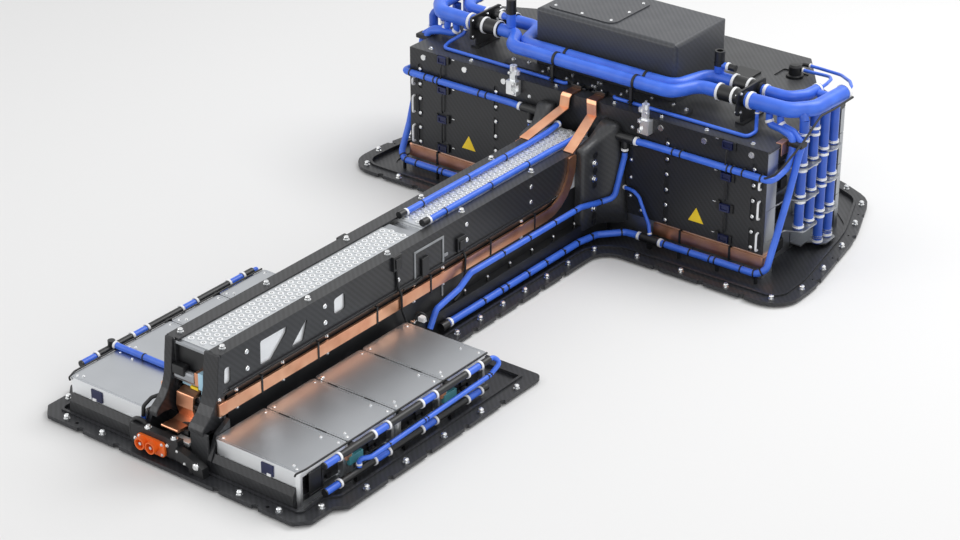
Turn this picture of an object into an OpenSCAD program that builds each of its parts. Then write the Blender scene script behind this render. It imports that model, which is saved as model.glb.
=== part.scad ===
// Electric vehicle battery pack: a T shaped carbon tray with low front modules,
// a raised cell tunnel along the middle and a tall module block across the rear.
// X is across the pack, +Y runs along the tunnel to the rear block, +Z is up.
// The origin is on the floor under the middle of the tray.

/* [Tray] */
// Length of the tray along the tunnel
tray_length = 2288; // [2270:2:2330]
// Half of the width of the front part of the tray
front_half_w = 441; // [438:1:460]
// Half of the width of the spine between the two wide parts
spine_half_w = 169; // [167:1:185]
// Half of the widest width of the rear part
rear_half_w = 732; // [726:1:750]
// Length of the front part of the tray
front_tray_l = 865; // [855:1:890]
// Length of the wide rear part of the tray
rear_tray_l = 773; // [765:1:785]
// Thickness of the tray floor
floor_t = 10; // [8:0.5:12]
// Height of the underside of the flange round the edge
flange_z = 6; // [4:0.5:7]
// Thickness of that flange
flange_t = 10; // [8:0.5:12]
// Width of that flange
flange_w = 34; // [32:0.5:36]
// Height of the bead above the flange
bead_h = 5; // [2:0.5:6]
// Width of the bead
bead_w = 7; // [5:0.5:8]
// Depth of the sunk floor under the rear block
rear_sink = 3; // [1:0.5:4]

/* [Fasteners] */
// Radius of the shank of a tray bolt
bolt_r = 3; // [2.5:0.1:3.5]
// Radius of the head of a tray bolt
bolt_head_r = 7; // [6:0.25:8]
// Distance from the front and rear edges to their rows of bolts
bolt_inset = 16; // [14:0.5:18]
// Radius of the four open mounting holes
mount_hole_r = 4.5; // [4:0.1:5.5]
// Half of the spacing of the mounting holes across the pack
mount_x = 300; // [292:1:306]

/* [Front modules] */
// Number of modules on each side
module_count = 4;
// Distance from the middle plane to the inner side of a module
module_inner = 107; // [106:0.5:112]
// Width of a module lid
module_w = 253; // [240:1:256]
// Spacing of the modules
module_pitch = 174; // [170:1:176]
// Gap between two lids
module_gap = 3; // [1:0.5:6]
// Distance from the front edge of the tray to the first module
module_front = 56; // [54:0.5:60]
// Height of the top of the lids above the floor
module_top = 105; // [95:1:110]
// Thickness of a lid
lid_t = 6; // [4:0.5:8]

/* [Cooling rails] */
// Radius of the black rail tubes
rail_r = 9; // [8:0.25:10]
// Distance from the side of the lids to the rails
rail_gap = 21; // [19:0.5:24]
// Height of the upper rail
rail_upper_z = 102; // [98:0.5:106]
// Height of the lower rail
rail_lower_z = 32; // [31:0.5:36]
// Length of a blue hose piece in a rail
rail_hose_l = 44; // [36:1:50]

/* [Tunnel] */
// Half of the width over the side panels
tunnel_half_w = 84; // [80:0.5:88]
// Height of the top flanges
tunnel_top = 285; // [270:1:300]
// Front end of the side panels, from the front edge of the tray
tunnel_front = 116; // [114:1:124]
// Thickness of the carbon side panels
panel_t = 4; // [3:0.25:5]
// Lower edge of the side panels
panel_bottom = 188; // [184:0.5:194]
// Width of the top flange of a side panel
panel_flange_w = 38; // [34:0.5:40]
// Half of the width of the base under the tunnel
base_half_w = 104; // [100:0.5:105]
// Height of the ledge of that base
base_ledge_z = 72; // [68:0.5:76]
// Spacing of the cells along the tunnel
cell_pitch = 23; // [22:0.25:24]
// Radius of a cell cap
cell_cap_r = 7.5; // [6:0.25:8]

/* [Rear block] */
// Half of the width of the block
block_half_w = 589; // [580:1:600]
// Distance from the front edge of the rear part of the tray to the block
block_setback = 126; // [120:1:132]
// Depth of the front row of modules
front_row_d = 194; // [188:1:198]
// Depth of the rear row of modules
rear_row_d = 200; // [196:1:206]
// Depth of the narrow tail behind the rear row
tail_d = 204; // [196:1:208]
// Half of the width of that tail
tail_half_w = 352; // [330:1:370]
// Height of the top of the block
block_top = 373; // [366:1:380]
// Thickness of the top plate
top_plate_t = 8; // [6:0.5:10]
// Height of the top of the lowest layer
layer_1_z = 110; // [106:0.5:114]
// Height of each layer above it
layer_h = 91; // [88:0.5:93]
// Thickness of the face panels
face_t = 3; // [2:0.25:4]

/* [Electronics cover] */
// Half of the width of the cover
cover_half_w = 229; // [220:1:236]
// Distance from the front face of the block to the cover
cover_setback = 103; // [100:1:110]
// Depth of the cover
cover_d = 252; // [240:1:260]
// Height of the cover above the top plate
cover_h = 171; // [160:1:180]
// Wall of the cover
cover_wall = 4; // [3:0.5:5]

/* [Pipes] */
// Radius of the two main pipes
pipe_r = 18; // [16:0.25:18.5]
// Radius of the wide pipes outside the bulkheads
wide_pipe_r = 21; // [19:0.25:22]
// Height of the pipes
pipe_z = 443; // [441:1:446]
// Radius of the manifold columns
column_r = 13; // [12:0.25:14]
// Distance from the end of the block to the columns
column_gap = 23; // [20:0.5:27]
// Radius of the bore in a coolant port
port_bore_r = 9; // [8:0.25:10]
// Radius of the hoses on the block
hose_r = 9.5; // [9:0.25:10]
// Radius of the thin hoses
thin_hose_r = 5; // [4:0.25:5.5]

/* [High voltage connector] */
// Radius of a contact
contact_r = 4; // [3:0.25:5]
// Radius of the bore of a pole
pole_bore_r = 12; // [10:0.25:13]
// Depth of that bore
pole_bore_l = 12; // [10:0.5:14]
// Spacing of the two contacts
contact_spacing = 33; // [32:0.5:36]

/* [Hidden] */

$fn = 32;
carbon = "#26282b";
aluminium = "#b4b7bb";
copper = "#c9795a";
hose_blue = "#2f5bd0";
black = "#1b1c1e";
steel = "#d8dadc";

// Clearance between pieces that only lie next to each other
play = 0.3;
front_y = -tray_length / 2;
back_y = tray_length / 2;
flange_top = flange_z + flange_t;
bead_top = flange_top + bead_h;
front_tray_end = front_y + front_tray_l;
rear_plate_y = back_y - rear_tray_l;
block_y = rear_plate_y + block_setback;
cover_y = block_y + cover_setback;
rear_floor = floor_t - rear_sink;
rail_x = module_inner + module_w + rail_gap;
column_x = block_half_w + column_gap;

// General helpers

function unit(v) = v / norm(v);

// Points of a round corner at b between a and c, each given as [x, y, radius]
function corner(a, b, c) =
    let (p = [b[0], b[1]], u = unit([a[0], a[1]] - p), w = unit([c[0], c[1]] - p), r = b[2])
    r <= 0 ? [p] :
    let (
        half = acos(u * w) / 2,
        middle = p + unit(u + w) * r / sin(half),
        from = p + u * r / tan(half) - middle,
        to = p + w * r / tan(half) - middle,
        a0 = atan2(from[1], from[0]),
        turn = (atan2(to[1], to[0]) - a0 + 540) % 360 - 180,
        n = max(2, ceil(abs(turn) / 15))
    )
    [for (k = [0:n]) middle + r * [cos(a0 + turn * k / n), sin(a0 + turn * k / n)]];

// An outline with its corners rounded
function rounded(points) =
    let (n = len(points))
    [for (i = [0:n - 1]) each corner(points[(i + n - 1) % n], points[i], points[(i + 1) % n])];

// Adds the mirror image of a half outline that runs from the front to the rear
function mirrored(points) =
    concat(points, [for (i = [len(points) - 1:-1:0]) [-points[i][0], points[i][1], points[i][2]]]);

module rounded_box(size, r) {
    linear_extrude(size[2])
        polygon(rounded([[0, 0, r], [size[0], 0, r], [size[0], size[1], r], [0, size[1], r]]));
}

// Draws its children on the right and mirrored on the left
module both_sides() {
    children();
    mirror([1, 0, 0]) children();
}

// A plate in the YZ plane, t thick from x outwards
module side_plate(points, x, t) {
    translate([x, 0, 0])
        rotate([90, 0, 90])
            linear_extrude(t) polygon(points);
}

// A plate in the XZ plane, t thick from y backwards
module cross_plate(points, y, t) {
    translate([0, y + t, 0])
        rotate([90, 0, 0])
            linear_extrude(t) polygon(points);
}

// Points of a bend at b, and a whole route with its bends rounded
function bend(a, b, c, r, steps) =
    let (u = unit(a - b), w = unit(c - b), turn = acos(max(-1, min(1, -(u * w)))))
    turn < 4 ? [b] :
    let (
        half = (180 - turn) / 2,
        reach = min(r / tan(half), norm(a - b) * 0.48, norm(c - b) * 0.48),
        rr = reach * tan(half),
        middle = b + unit(u + w) * rr / sin(half),
        e1 = unit(b + u * reach - middle),
        to = b + w * reach - middle,
        e2 = unit(to - (to * e1) * e1)
    )
    [for (k = [0:steps]) middle + rr * (cos(turn * k / steps) * e1 + sin(turn * k / steps) * e2)];

function smooth_route(route, r, steps) =
    let (n = len(route))
    concat(
        [route[0]],
        n < 3 ? [] : [for (i = [1:n - 2]) each bend(route[i - 1], route[i], route[i + 1], r, steps)],
        [route[n - 1]]
    );

function across(t) = unit(cross(t, abs(t[2]) < 0.9 ? [0, 0, 1] : [0, 1, 0]));

// A round hose swept along a route with rounded bends
module hose(route, r, bend_r, steps = 3, sides = 8) {
    p = smooth_route(route, bend_r, steps);
    n = len(p);
    t = [for (i = [0:n - 1]) unit(p[min(i + 1, n - 1)] - p[max(i - 1, 0)])];
    nor = [for (i = 0, v = across(t[0]); i < n; i = i + 1, v = i < n ? unit(v - (v * t[i]) * t[i]) : v) v];
    points = [
        for (i = [0:n - 1]) let (side = cross(t[i], nor[i]))
            for (k = [0:sides - 1])
                p[i] + r * (cos(360 * k / sides) * nor[i] + sin(360 * k / sides) * side)
    ];
    walls = [
        for (i = [0:n - 2], k = [0:sides - 1])
            let (a = i * sides + k, b = i * sides + (k + 1) % sides)
                each [[a, a + sides, b], [b, a + sides, b + sides]]
    ];
    start_cap = [[for (k = [0:sides - 1]) k]];
    end_cap = [[for (k = [sides - 1:-1:0]) (n - 1) * sides + k]];
    polyhedron(points, concat(walls, start_cap, end_cap), convexity = 8);
}

// A straight tube or rod from a to b
module rod(a, b, r) {
    d = b - a;
    translate(a)
        rotate([0, acos(d[2] / norm(d)), atan2(d[1], d[0])])
            cylinder(h = norm(d), r = r);
}

// A ring round the line from a towards b, width w, centred on the distance at
module ring(a, b, at, r_in, r_out, w) {
    d = b - a;
    translate(a + unit(d) * at)
        rotate([0, acos(d[2] / norm(d)), atan2(d[1], d[0])])
            difference() {
                translate([0, 0, -w / 2]) cylinder(h = w, r = r_out);
                translate([0, 0, -w]) cylinder(h = 2 * w, r = r_in);
            }
}

// A flat copper strip along a route, w wide across X and t thick
module strip(route, w, t) {
    for (i = [0:len(route) - 2])
        hull()
            for (p = [route[i], route[i + 1]])
                translate(p) rotate([0, 90, 0]) cylinder(h = w, r = t / 2, center = true, $fn = 12);
}

// Tray

// Half outline of the tray, moved inwards by i
function tray_half(i) = [
    [front_half_w - 56 - 0.4 * i, front_y + i, 10 - 0.12 * i],
    [front_half_w - 25 - i, front_y + 33 + 0.4 * i, 10 - 0.12 * i],
    [front_half_w - 25 - i, front_y + 104 + 0.4 * i, 10],
    [front_half_w - i, front_y + 132 + 0.4 * i, 10],
    [front_half_w - i, front_tray_end - i, max(4, 18 - i)],
    [spine_half_w - i, front_tray_end - i, 24],
    [spine_half_w - i, rear_plate_y + i, 60 + i],
    [rear_half_w - i, rear_plate_y + i, max(20, 84 - i)],
    [rear_half_w - 2 - i, back_y - 604, 400],
    [rear_half_w - 60 - i, back_y - 294, 500],
    [rear_half_w - 147 - 0.8 * i, back_y - 69 - 0.6 * i, max(40, 110 - i)],
    [rear_half_w - 292 - 0.2 * i, back_y - i, 200]
];

function tray_outline(i) = rounded(mirrored(tray_half(i)));

side_bolt_pitch = 142;
spine_bolt_pitch = 96;
front_row_y = front_y + bolt_inset;
back_row_y = back_y - bolt_inset - 2;
rear_row_y = rear_plate_y + bolt_inset - 2;
side_bolt_x = front_half_w - 13;
spine_bolt_x = spine_half_w - 22;
side_bolt_y = [for (k = [0:4]) front_y + 208 + k * side_bolt_pitch];
spine_bolt_y = [for (y = [front_tray_end + 39:spine_bolt_pitch:rear_plate_y - 100]) y];

// Bolts round the curved edge of the rear part
rim_places = [
    [rear_half_w - 55, rear_plate_y + 29], [rear_half_w - 20, back_y - 649], [rear_half_w - 33, back_y - 518],
    [rear_half_w - 60, back_y - 373], [rear_half_w - 100, back_y - 232], [rear_half_w - 147, back_y - 114],
    [rear_half_w - 232, back_y - 49]
];

// Bolt places on the right half
bolt_places = concat(
    [for (x = [216, 334]) [x, front_row_y]],
    [[front_half_w - 42, front_y + 85]],
    [for (y = side_bolt_y) [side_bolt_x, y]],
    [[spine_half_w + 94, front_tray_end - bolt_inset]],
    [for (y = spine_bolt_y) [spine_bolt_x, y]],
    [[spine_bolt_x + 7.5, rear_plate_y - 21]],
    [for (x = [269, 408, 548]) [x, rear_row_y]],
    rim_places,
    [for (x = [125:128:381]) [x, back_row_y]]
);

// Middles between the neighbours of a row of places
function between(p) = [for (i = [0:len(p) - 2]) (p[i] + p[i + 1]) / 2];

// Scallops cut in the edge of the flange between the bolts, on the right half
scallop_places = concat(
    [for (x = [157:118:275]) [x, front_y]],
    [for (y = between(side_bolt_y)) [front_half_w, y]],
    [for (y = between(spine_bolt_y)) [spine_half_w, y]],
    [for (x = between([269, 408, 548, 660])) [x, rear_plate_y]],
    [for (p = between([for (k = [1:5]) rim_places[k]])) p + [19, 4]],
    [for (x = between([125, 253, 381])) [x, back_y]]
);

module base_tray() {
    pan = flange_w + bead_w;
    color(carbon)
        difference() {
            union() {
                translate([0, 0, flange_z]) linear_extrude(flange_t) polygon(tray_outline(0));
                translate([0, 0, flange_z]) linear_extrude(bead_top - flange_z) polygon(tray_outline(flange_w));
                linear_extrude(floor_t) polygon(tray_outline(pan + 4));
            }
            translate([0, 0, floor_t]) linear_extrude(bead_top) polygon(tray_outline(pan));
            // Sunk floor round the rear block
            translate([0, 0, rear_floor])
                intersection() {
                    linear_extrude(floor_t)
                        polygon(rounded(mirrored([
                            [rear_half_w - 92, rear_plate_y + 78, 60],
                            [rear_half_w - 92, back_y - 540, 100], [rear_half_w - 126, back_y - 240, 60],
                            [rear_half_w - 250, back_y - 120, 60], [rear_half_w - 350, back_y, 0]
                        ])));
                    linear_extrude(floor_t) polygon(tray_outline(pan + 1));
                }
            both_sides() {
                for (p = bolt_places) translate([p[0], p[1], -1]) cylinder(h = 40, r = bolt_r + play);
                for (y = [front_row_y, back_row_y]) translate([mount_x, y, -1]) cylinder(h = 40, r = mount_hole_r);
                for (p = scallop_places) translate([p[0], p[1], -1]) cylinder(h = 40, r = 9);
                for (p = between([for (k = [1:5]) rim_places[k]])) translate([p[0], p[1], -1]) cylinder(h = 40, r = 3);
            }
        }
}

module tray_bolt() {
    rotate_extrude()
        polygon([
            [0, -flange_t + 1], [bolt_r, -flange_t + 1], [bolt_r, 0], [bolt_head_r + 1, 0],
            [bolt_head_r + 1, 1.5], [bolt_head_r - 3, 2], [bolt_head_r - 3, 6], [bolt_head_r, 6.5],
            [bolt_head_r, 9], [bolt_head_r - 2, 11.5], [0, 12.5]
        ]);
}

module tray_bolts() {
    color(steel) both_sides() for (p = bolt_places) translate([p[0], p[1], flange_top]) tray_bolt();
}

// Sloped carbon wall in front of the front modules
module_y0 = front_y + module_front;
guard_inner = module_inner - 1;
guard_back = module_y0 - play;

post_y = front_y + tunnel_front - 4;

module front_guard() {
    y0 = front_y + flange_w + bead_w + play;
    color(carbon)
        both_sides() {
            translate([guard_inner, 0, 0])
                side_plate([[y0, floor_t], [guard_back, floor_t], [guard_back, 64], [y0 + 4, 46]], 0, module_w - 8);
            side_plate([
                [y0, floor_t], [post_y - play, floor_t], [post_y - play, module_top + 24],
                [guard_back + 14, module_top], [y0 + 2, 48]
            ], guard_inner - 12, 12 - play);
        }
}

// Front modules

lid_l = module_pitch - module_gap;
module_body_top = module_top - lid_t;

module front_module(index) {
    translate([module_inner, module_y0 + (index - 1) * module_pitch, 0])
        color(aluminium)
            difference() {
                union() {
                    translate([1, 1, floor_t])
                        rounded_box([module_w - 4, lid_l - 2, module_body_top - floor_t], 9);
                    translate([0, 0, module_body_top - 0.01])
                        rounded_box([module_w, lid_l, lid_t + 0.01], 10);
                }
                // Pocket in the outer side for the cell monitor board
                translate([module_w - 20, 16, floor_t + 14])
                    cube([30, lid_l - 32, module_body_top - floor_t - 26]);
                // Shallow grooves beside the lid seams
                for (y = [5, lid_l - 6.5])
                    translate([8, y, module_top - 1.5]) cube([module_w - 16, 1.5, 3]);
                // Screw holes
                for (x = [16, module_w - 16], y = [14, lid_l - 14])
                    translate([x, y, module_top - 12]) cylinder(h = 20, r = 2.2);
            }
}

module module_screws() {
    color(steel)
        both_sides()
            for (i = [0:module_count - 1], x = [16, module_w - 16], y = [14, lid_l - 14])
                translate([module_inner + x, module_y0 + i * module_pitch + y, module_top])
                    union() {
                        translate([0, 0, -10]) cylinder(h = 10, r = 2);
                        cylinder(h = 1.6, r1 = 4, r2 = 3);
                    }
}

// Monitor boards in the outer pockets, with copper tabs
module module_links() {
    x0 = module_inner + module_w - 20;
    color(black)
        both_sides()
            for (i = [0:module_count - 1])
                translate([x0, module_y0 + i * module_pitch + 20, floor_t + 18])
                    difference() {
                        union() {
                            cube([5, lid_l - 40, module_body_top - floor_t - 34]);
                            for (y = [8:26:lid_l - 60]) translate([5, y, 8]) cube([6, 14, 10]);
                            translate([5, lid_l / 2 - 30, 24]) cube([8, 22, 14]);
                        }
                        for (y = [12, lid_l - 52]) translate([-1, y, 34]) rotate([0, 90, 0]) cylinder(h = 8, r = 2);
                    }
}

// Cooling rails outside the front modules

rail_breaks = [for (k = [0:module_count - 1]) module_y0 + 87 + k * module_pitch];
rail_end = rail_breaks[module_count - 1] + rail_hose_l / 2 + 30;
rail_levels = [rail_upper_z, rail_lower_z];

// Black tube pieces between the blue hose pieces, with saddles and feet
module coolant_rails() {
    outer = module_inner + module_w + play;
    color(black)
        both_sides()
            for (z = rail_levels) {
                for (k = [0:module_count - 2]) {
                    a = rail_breaks[k] + rail_hose_l / 2;
                    b = rail_breaks[k + 1] - rail_hose_l / 2;
                    rod([rail_x, a, z], [rail_x, b, z], rail_r);
                    if (z == rail_upper_z)
                        translate([outer, (a + b) / 2 - 6, z - 7]) cube([rail_x - outer, 12, 10]);
                    else
                        translate([rail_x - 5, (a + b) / 2 - 6, floor_t]) cube([10, 12, z - floor_t]);
                }
                rod([rail_x, rail_breaks[0] - rail_hose_l / 2 - 4, z], [rail_x, rail_breaks[0] - rail_hose_l / 2, z], rail_r);
                rod([rail_x, rail_end - 30, z], [rail_x, rail_end, z], rail_r);
            }
    // Stub for the crossover hose on the left
    color(black)
        translate([-rail_x, crossover_y, rail_upper_z]) cylinder(h = crossover_z + 9 - rail_upper_z, r = stub_r);
}

module rail_hoses() {
    color(hose_blue)
        both_sides()
            for (z = rail_levels, y = rail_breaks)
                rod([rail_x, y - rail_hose_l / 2, z], [rail_x, y + rail_hose_l / 2, z], rail_r - 0.5);
}

return_x = rail_x + 16;
return_hose_route = [
    [rail_x, rail_end + play, rail_upper_z], [rail_x, rail_end + 30, rail_upper_z - 1],
    [return_x, rail_end + 34, rail_upper_z - 14], [return_x, rail_end - 6, rail_upper_z - 30],
    [return_x, rail_breaks[0] + 120, rail_upper_z - 40], [rail_x, rail_breaks[0] + 96, rail_lower_z + 30],
    [rail_x, rail_breaks[0] + 96, rail_lower_z + rail_r + play]
];

module return_hoses() {
    color(hose_blue) both_sides() hose(return_hose_route, 6, 14);
}

crossover_y = rail_breaks[0] + 78;
crossover_z = module_top + 8 + play;
stub_r = 9.5;
crossover_route = [
    [rail_x - stub_r - play, crossover_y, crossover_z], [95, crossover_y, crossover_z],
    [93, crossover_y, base_ledge_z + play]
];

module crossover_hoses() {
    color(hose_blue) mirror([1, 0, 0]) hose(crossover_route, 8, 14);
}

// Tunnel

tunnel_y0 = front_y + tunnel_front;
panel_stop = 152;
panel_end_y = block_y - panel_stop;
panel_inner = tunnel_half_w - panel_t;
flange_inner = tunnel_half_w - panel_flange_w;
base_y0 = tunnel_y0 + 8;
base_y1 = block_y - face_t - 12;
base_body_w = panel_inner - play;
cell_floor_z = panel_bottom - 8;
cell_top_z = tunnel_top - panel_t - play;

module tunnel_base() {
    color(black)
        union() {
            translate([-base_half_w, base_y0, floor_t])
                cube([2 * base_half_w, base_y1 - base_y0, base_ledge_z - floor_t]);
            translate([-base_body_w, base_y0 + 10, base_ledge_z - 0.01])
                cube([2 * base_body_w, base_y1 - base_y0 - 10, cell_floor_z - base_ledge_z + 0.01]);
            both_sides()
                for (y = [front_tray_end + 39:96:panel_end_y + 60])
                    translate([base_half_w - 7, y, base_ledge_z - 0.01])
                        rotate_extrude()
                            polygon([[0, 0], [4, 0], [4, 3], [2.5, 3], [2.5, 8], [4.5, 8], [4.5, 11], [0, 12]]);
        }
}

// Windows through the side panels, as [y, z] outlines measured from the panel front
module panel_windows() {
    y = tunnel_y0;
    low = panel_bottom + 12;
    high = tunnel_top - 22;
    side_plate(rounded([[y + 6, low + 6, 8], [y + 28, low + 2, 8], [y + 30, high - 19, 8], [y + 10, high - 15, 8]]),
        panel_inner - 1, panel_t + 2);
    side_plate(rounded([[y + 130, low, 6], [y + 168, low, 8], [y + 222, high - 16, 6], [y + 226, high, 4], [y + 132, high, 6]]),
        panel_inner - 1, panel_t + 2);
    side_plate(rounded([[y + 236, low, 3], [y + 280, low, 4], [y + 302, high, 3], [y + 290, high - 14, 3]]),
        panel_inner - 1, panel_t + 2);
    side_plate(rounded([[y + 394, low + 20, 8], [y + 434, low + 20, 8], [y + 434, high + 2, 8], [y + 394, high - 2, 8]]),
        panel_inner - 1, panel_t + 2);
}

side_dot_y = [for (y = [tunnel_y0 + 84:275:panel_end_y - 60]) y];
side_dot_z = [panel_bottom + 26, tunnel_top - 27];
top_bolt_y = [for (k = [0:4]) tunnel_y0 + 26 + k * 296];

// Front post: the folded front edge of a side panel that flares out at its foot
post_outline = [
    [tunnel_half_w - 30, tunnel_top, 8], [tunnel_half_w, tunnel_top, 10], [tunnel_half_w, 150, 60],
    [tunnel_half_w + 4, 100, 60], [base_half_w + 1, base_ledge_z - 10, 12], [base_half_w + 1, floor_t + 4, 4],
    [base_half_w - 34, floor_t + 4, 6], [tunnel_half_w - 26, 120, 60], [tunnel_half_w - 30, 170, 40]
];

module tunnel_panel() {
    end_r = 60;
    color(carbon)
        difference() {
            union() {
                side_plate(rounded([
                    [tunnel_y0, panel_bottom, 0], [panel_end_y, panel_bottom, end_r],
                    [panel_end_y, tunnel_top, 0], [tunnel_y0, tunnel_top, 0]
                ]), panel_inner, panel_t);
                translate([flange_inner, tunnel_y0, tunnel_top - panel_t])
                    cube([panel_flange_w, panel_end_y - tunnel_y0, panel_t]);
                translate([tunnel_half_w - 0.01, tunnel_y0 + 20, panel_bottom])
                    cube([4, panel_end_y - tunnel_y0 - end_r - 40, 3]);
                cross_plate(rounded(post_outline), post_y, 8);
            }
            panel_windows();
            for (y = top_bolt_y)
                translate([tunnel_half_w - 19, y, tunnel_top - 20]) cylinder(h = 40, r = bolt_r + play);
            for (y = side_dot_y, z = side_dot_z)
                translate([panel_inner - 5, y, z]) rotate([0, 90, 0]) cylinder(h = 20, r = 2.5 + play);
        }
}

module tunnel_bolts() {
    color(steel)
        both_sides() {
            for (y = top_bolt_y)
                translate([tunnel_half_w - 19, y, tunnel_top])
                    rotate_extrude()
                        polygon([
                            [0, -panel_t + 0.5], [bolt_r, -panel_t + 0.5], [bolt_r, 0], [8, 0], [8, 1.5], [4.5, 2],
                            [4.5, 5], [6.5, 5.5], [6.5, 8], [5, 10], [0, 10.5]
                        ]);
            for (y = side_dot_y, z = side_dot_z)
                translate([tunnel_half_w, y, z])
                    rotate([0, 90, 0])
                        rotate_extrude()
                            polygon([[0, -panel_t + 0.5], [2.5, -panel_t + 0.5], [2.5, 0], [6.5, 0], [6.5, 1.5], [5, 3], [0, 3.5]]);
        }
}

// Cell blocks: a closed housing with the caps of the cells standing on top
cell_rows = 4;
row_pitch = 19;

module cell_block(y0, count) {
    l = count * cell_pitch + 12;
    body_w = panel_inner - play;
    plate_w = flange_inner - 1;
    color(aluminium)
        union() {
            translate([-body_w, y0, cell_floor_z]) cube([2 * body_w, l, cell_top_z - cell_floor_z - 4]);
            translate([-plate_w, y0, cell_top_z - 4.01]) cube([2 * plate_w, l, 4.01]);
            for (i = [0:count - 1], k = [0:cell_rows - 1])
                translate([
                    (k - (cell_rows - 1) / 2) * row_pitch,
                    y0 + 6 + cell_pitch * (i + (k % 2 == 0 ? 0.3 : 0.8)) + 2,
                    cell_top_z - 0.01
                ])
                    cylinder(h = cap_h, r = cell_cap_r, $fn = 20);
        }
}

front_cells = 31;
rear_cell_y0 = tunnel_y0 + 8 + front_cells * cell_pitch + 12 + 60;
rear_cells = floor((block_y - 30 - rear_cell_y0) / cell_pitch);

module cell_block_front() { cell_block(tunnel_y0 + 8, front_cells); }

module cell_block_rear() { cell_block(rear_cell_y0, rear_cells); }

cap_h = 3;
tunnel_hose_r = 8;
tunnel_hose_z = cell_top_z + cap_h + tunnel_hose_r + play + 0.1;

module tunnel_hoses() {
    y0 = rear_cell_y0 + 18;
    color(hose_blue)
        both_sides()
            hose([
                [37, y0, tunnel_hose_z], [37, panel_end_y - 25, tunnel_hose_z], [40, panel_end_y + 55, tunnel_hose_z],
                [44, block_y - 40, tunnel_hose_z + 6]
            ], tunnel_hose_r, 60);
}

// Copper bar along each side of the tunnel, rising in front of the cowl
bar_z = 135;
bar_h = 31;
bar_t = 6;
bar_x = tunnel_half_w + 0.5;
bar_up_y = panel_end_y - 26;

module side_busbars() {
    y0 = tunnel_y0 - 0;
    color(copper)
        both_sides()
            side_plate(rounded([
                [y0 + 6, bar_z, 3], [bar_up_y + bar_h, bar_z, 100 + bar_h], [bar_up_y + bar_h, tunnel_top - 4, 3],
                [bar_up_y, tunnel_top - 4, 3], [bar_up_y, bar_z + bar_h, 100], [y0 + 6, bar_z + bar_h, 3]
            ]), bar_x, bar_t);
}

strap_w = 30;
strap_t = 4;
strap_route = [
    [38, block_y + 30, block_top + strap_t / 2 + play], [40, block_y - 8, block_top + strap_t / 2 + play],
    [43, block_y - 12, block_top - 6], [46, block_y - 14, block_top - 38],
    [68, panel_end_y + 20, tunnel_top + 10], [72, panel_end_y - 6, tunnel_top + strap_t / 2 + play]
];

module top_straps() {
    color(copper) both_sides() strip(strap_route, strap_w, strap_t);
}

// Flexible copper link in the mouth of the tunnel
module front_busbar() {
    color(copper)
        strip([
            [-22, base_y0 + 10 - 3.5 - play, 158], [-22, tunnel_y0 - 12, 150], [-22, tunnel_y0 - 16, 120],
            [-22, tunnel_y0 - 8, 92], [-24, tunnel_y0 - 30, 84], [-30, tunnel_y0 - 62, 82]
        ], 52, 7);
}

module mouth_insulators() {
    color("#9fc4d8")
        union() {
            translate([14, base_y0 - 6, base_ledge_z + 2]) cube([12, 16 - play, 100]);
            translate([-46, base_y0 - 4, 166]) cube([62, 14 - play, 12]);
        }
}

// High voltage connector on its bracket over the front flange

hv_y = front_y + 20;
hv_z = 46;
hv_x = -58;
hv_pole_x = [hv_x - 6 - contact_spacing / 2, hv_x - 6 + contact_spacing / 2];
hv_bolt_places = [[hv_x - 16, flange_top + 64], [hv_x + 66, flange_top + 64]];

module hv_bracket() {
    color(black)
        difference() {
            union() {
                translate([hv_x - 65, hv_y, flange_top + 14]) cube([148, 20, 50]);
                translate([hv_x - 65, hv_y + 2, flange_top]) cube([22, 12, 15]);
                // Tongue back to the base of the tunnel
                translate([hv_x + 2, hv_y + 19, base_ledge_z - 22]) cube([96, base_y0 - play - hv_y - 19, 12]);
                // Sloping arm down to the flange
                cross_plate([
                    [hv_x + 82, flange_top + 52], [hv_x + 120, flange_top + 44], [hv_x + 164, flange_top + 24],
                    [hv_x + 168, flange_top], [hv_x + 140, flange_top], [hv_x + 118, flange_top + 16], [hv_x + 82, flange_top + 22]
                ], hv_y - 8, 20);
            }
            for (p = hv_bolt_places)
                translate([p[0], hv_y + 8, p[1] - 20]) cylinder(h = 40, r = 2.5);
        }
}

module hv_connector() {
    color("#e2641e")
        difference() {
            union() {
                translate([hv_x - 41, hv_y - play, hv_z - 19])
                    rotate([90, 0, 0])
                        rounded_box([87, 38, 6], 9);
                for (x = hv_pole_x)
                    translate([x, hv_y - 5, hv_z])
                        rotate([90, 0, 0]) cylinder(h = pole_bore_l + 2, r = pole_bore_r + 3);
            }
            for (x = hv_pole_x) {
                translate([x, hv_y - 7, hv_z])
                    rotate([90, 0, 0]) cylinder(h = 30, r = pole_bore_r);
                translate([x, hv_y + 1, hv_z])
                    rotate([90, 0, 0]) cylinder(h = 30, r = contact_r + play);
            }
        }
}

// Contacts flush with the floors of the poles, and the bolts of the bracket
module hv_contacts() {
    color(steel) {
        for (x = hv_pole_x)
            translate([x, hv_y - play, hv_z])
                rotate([90, 0, 0]) cylinder(h = 7 - play, r = contact_r);
        for (p = hv_bolt_places)
            translate([p[0], hv_y + 8, p[1]])
                rotate_extrude() polygon([[0, -12], [2.2, -12], [2.2, 0], [6, 0], [6, 3], [4, 5], [0, 5.5]]);
        translate([hv_x + 146, hv_y - 8, flange_top + 26])
            rotate([90, 0, 0]) rotate_extrude() polygon([[0, 0], [9, 0], [9, 3], [6, 5], [0, 5.5]]);
    }
}

// Rear block

front_row_y1 = block_y + front_row_d;
rear_row_y0 = front_row_y1 + 4;
rear_row_y1 = rear_row_y0 + rear_row_d;
tail_y1 = rear_row_y1 + tail_d;
stack_top = block_top - top_plate_t;
body_half_w = block_half_w - 34;
post_d = 50;
ear_t = 4;
column_y = [block_y + 135, block_y + 189, block_y + 243, block_y + 293];

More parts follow.
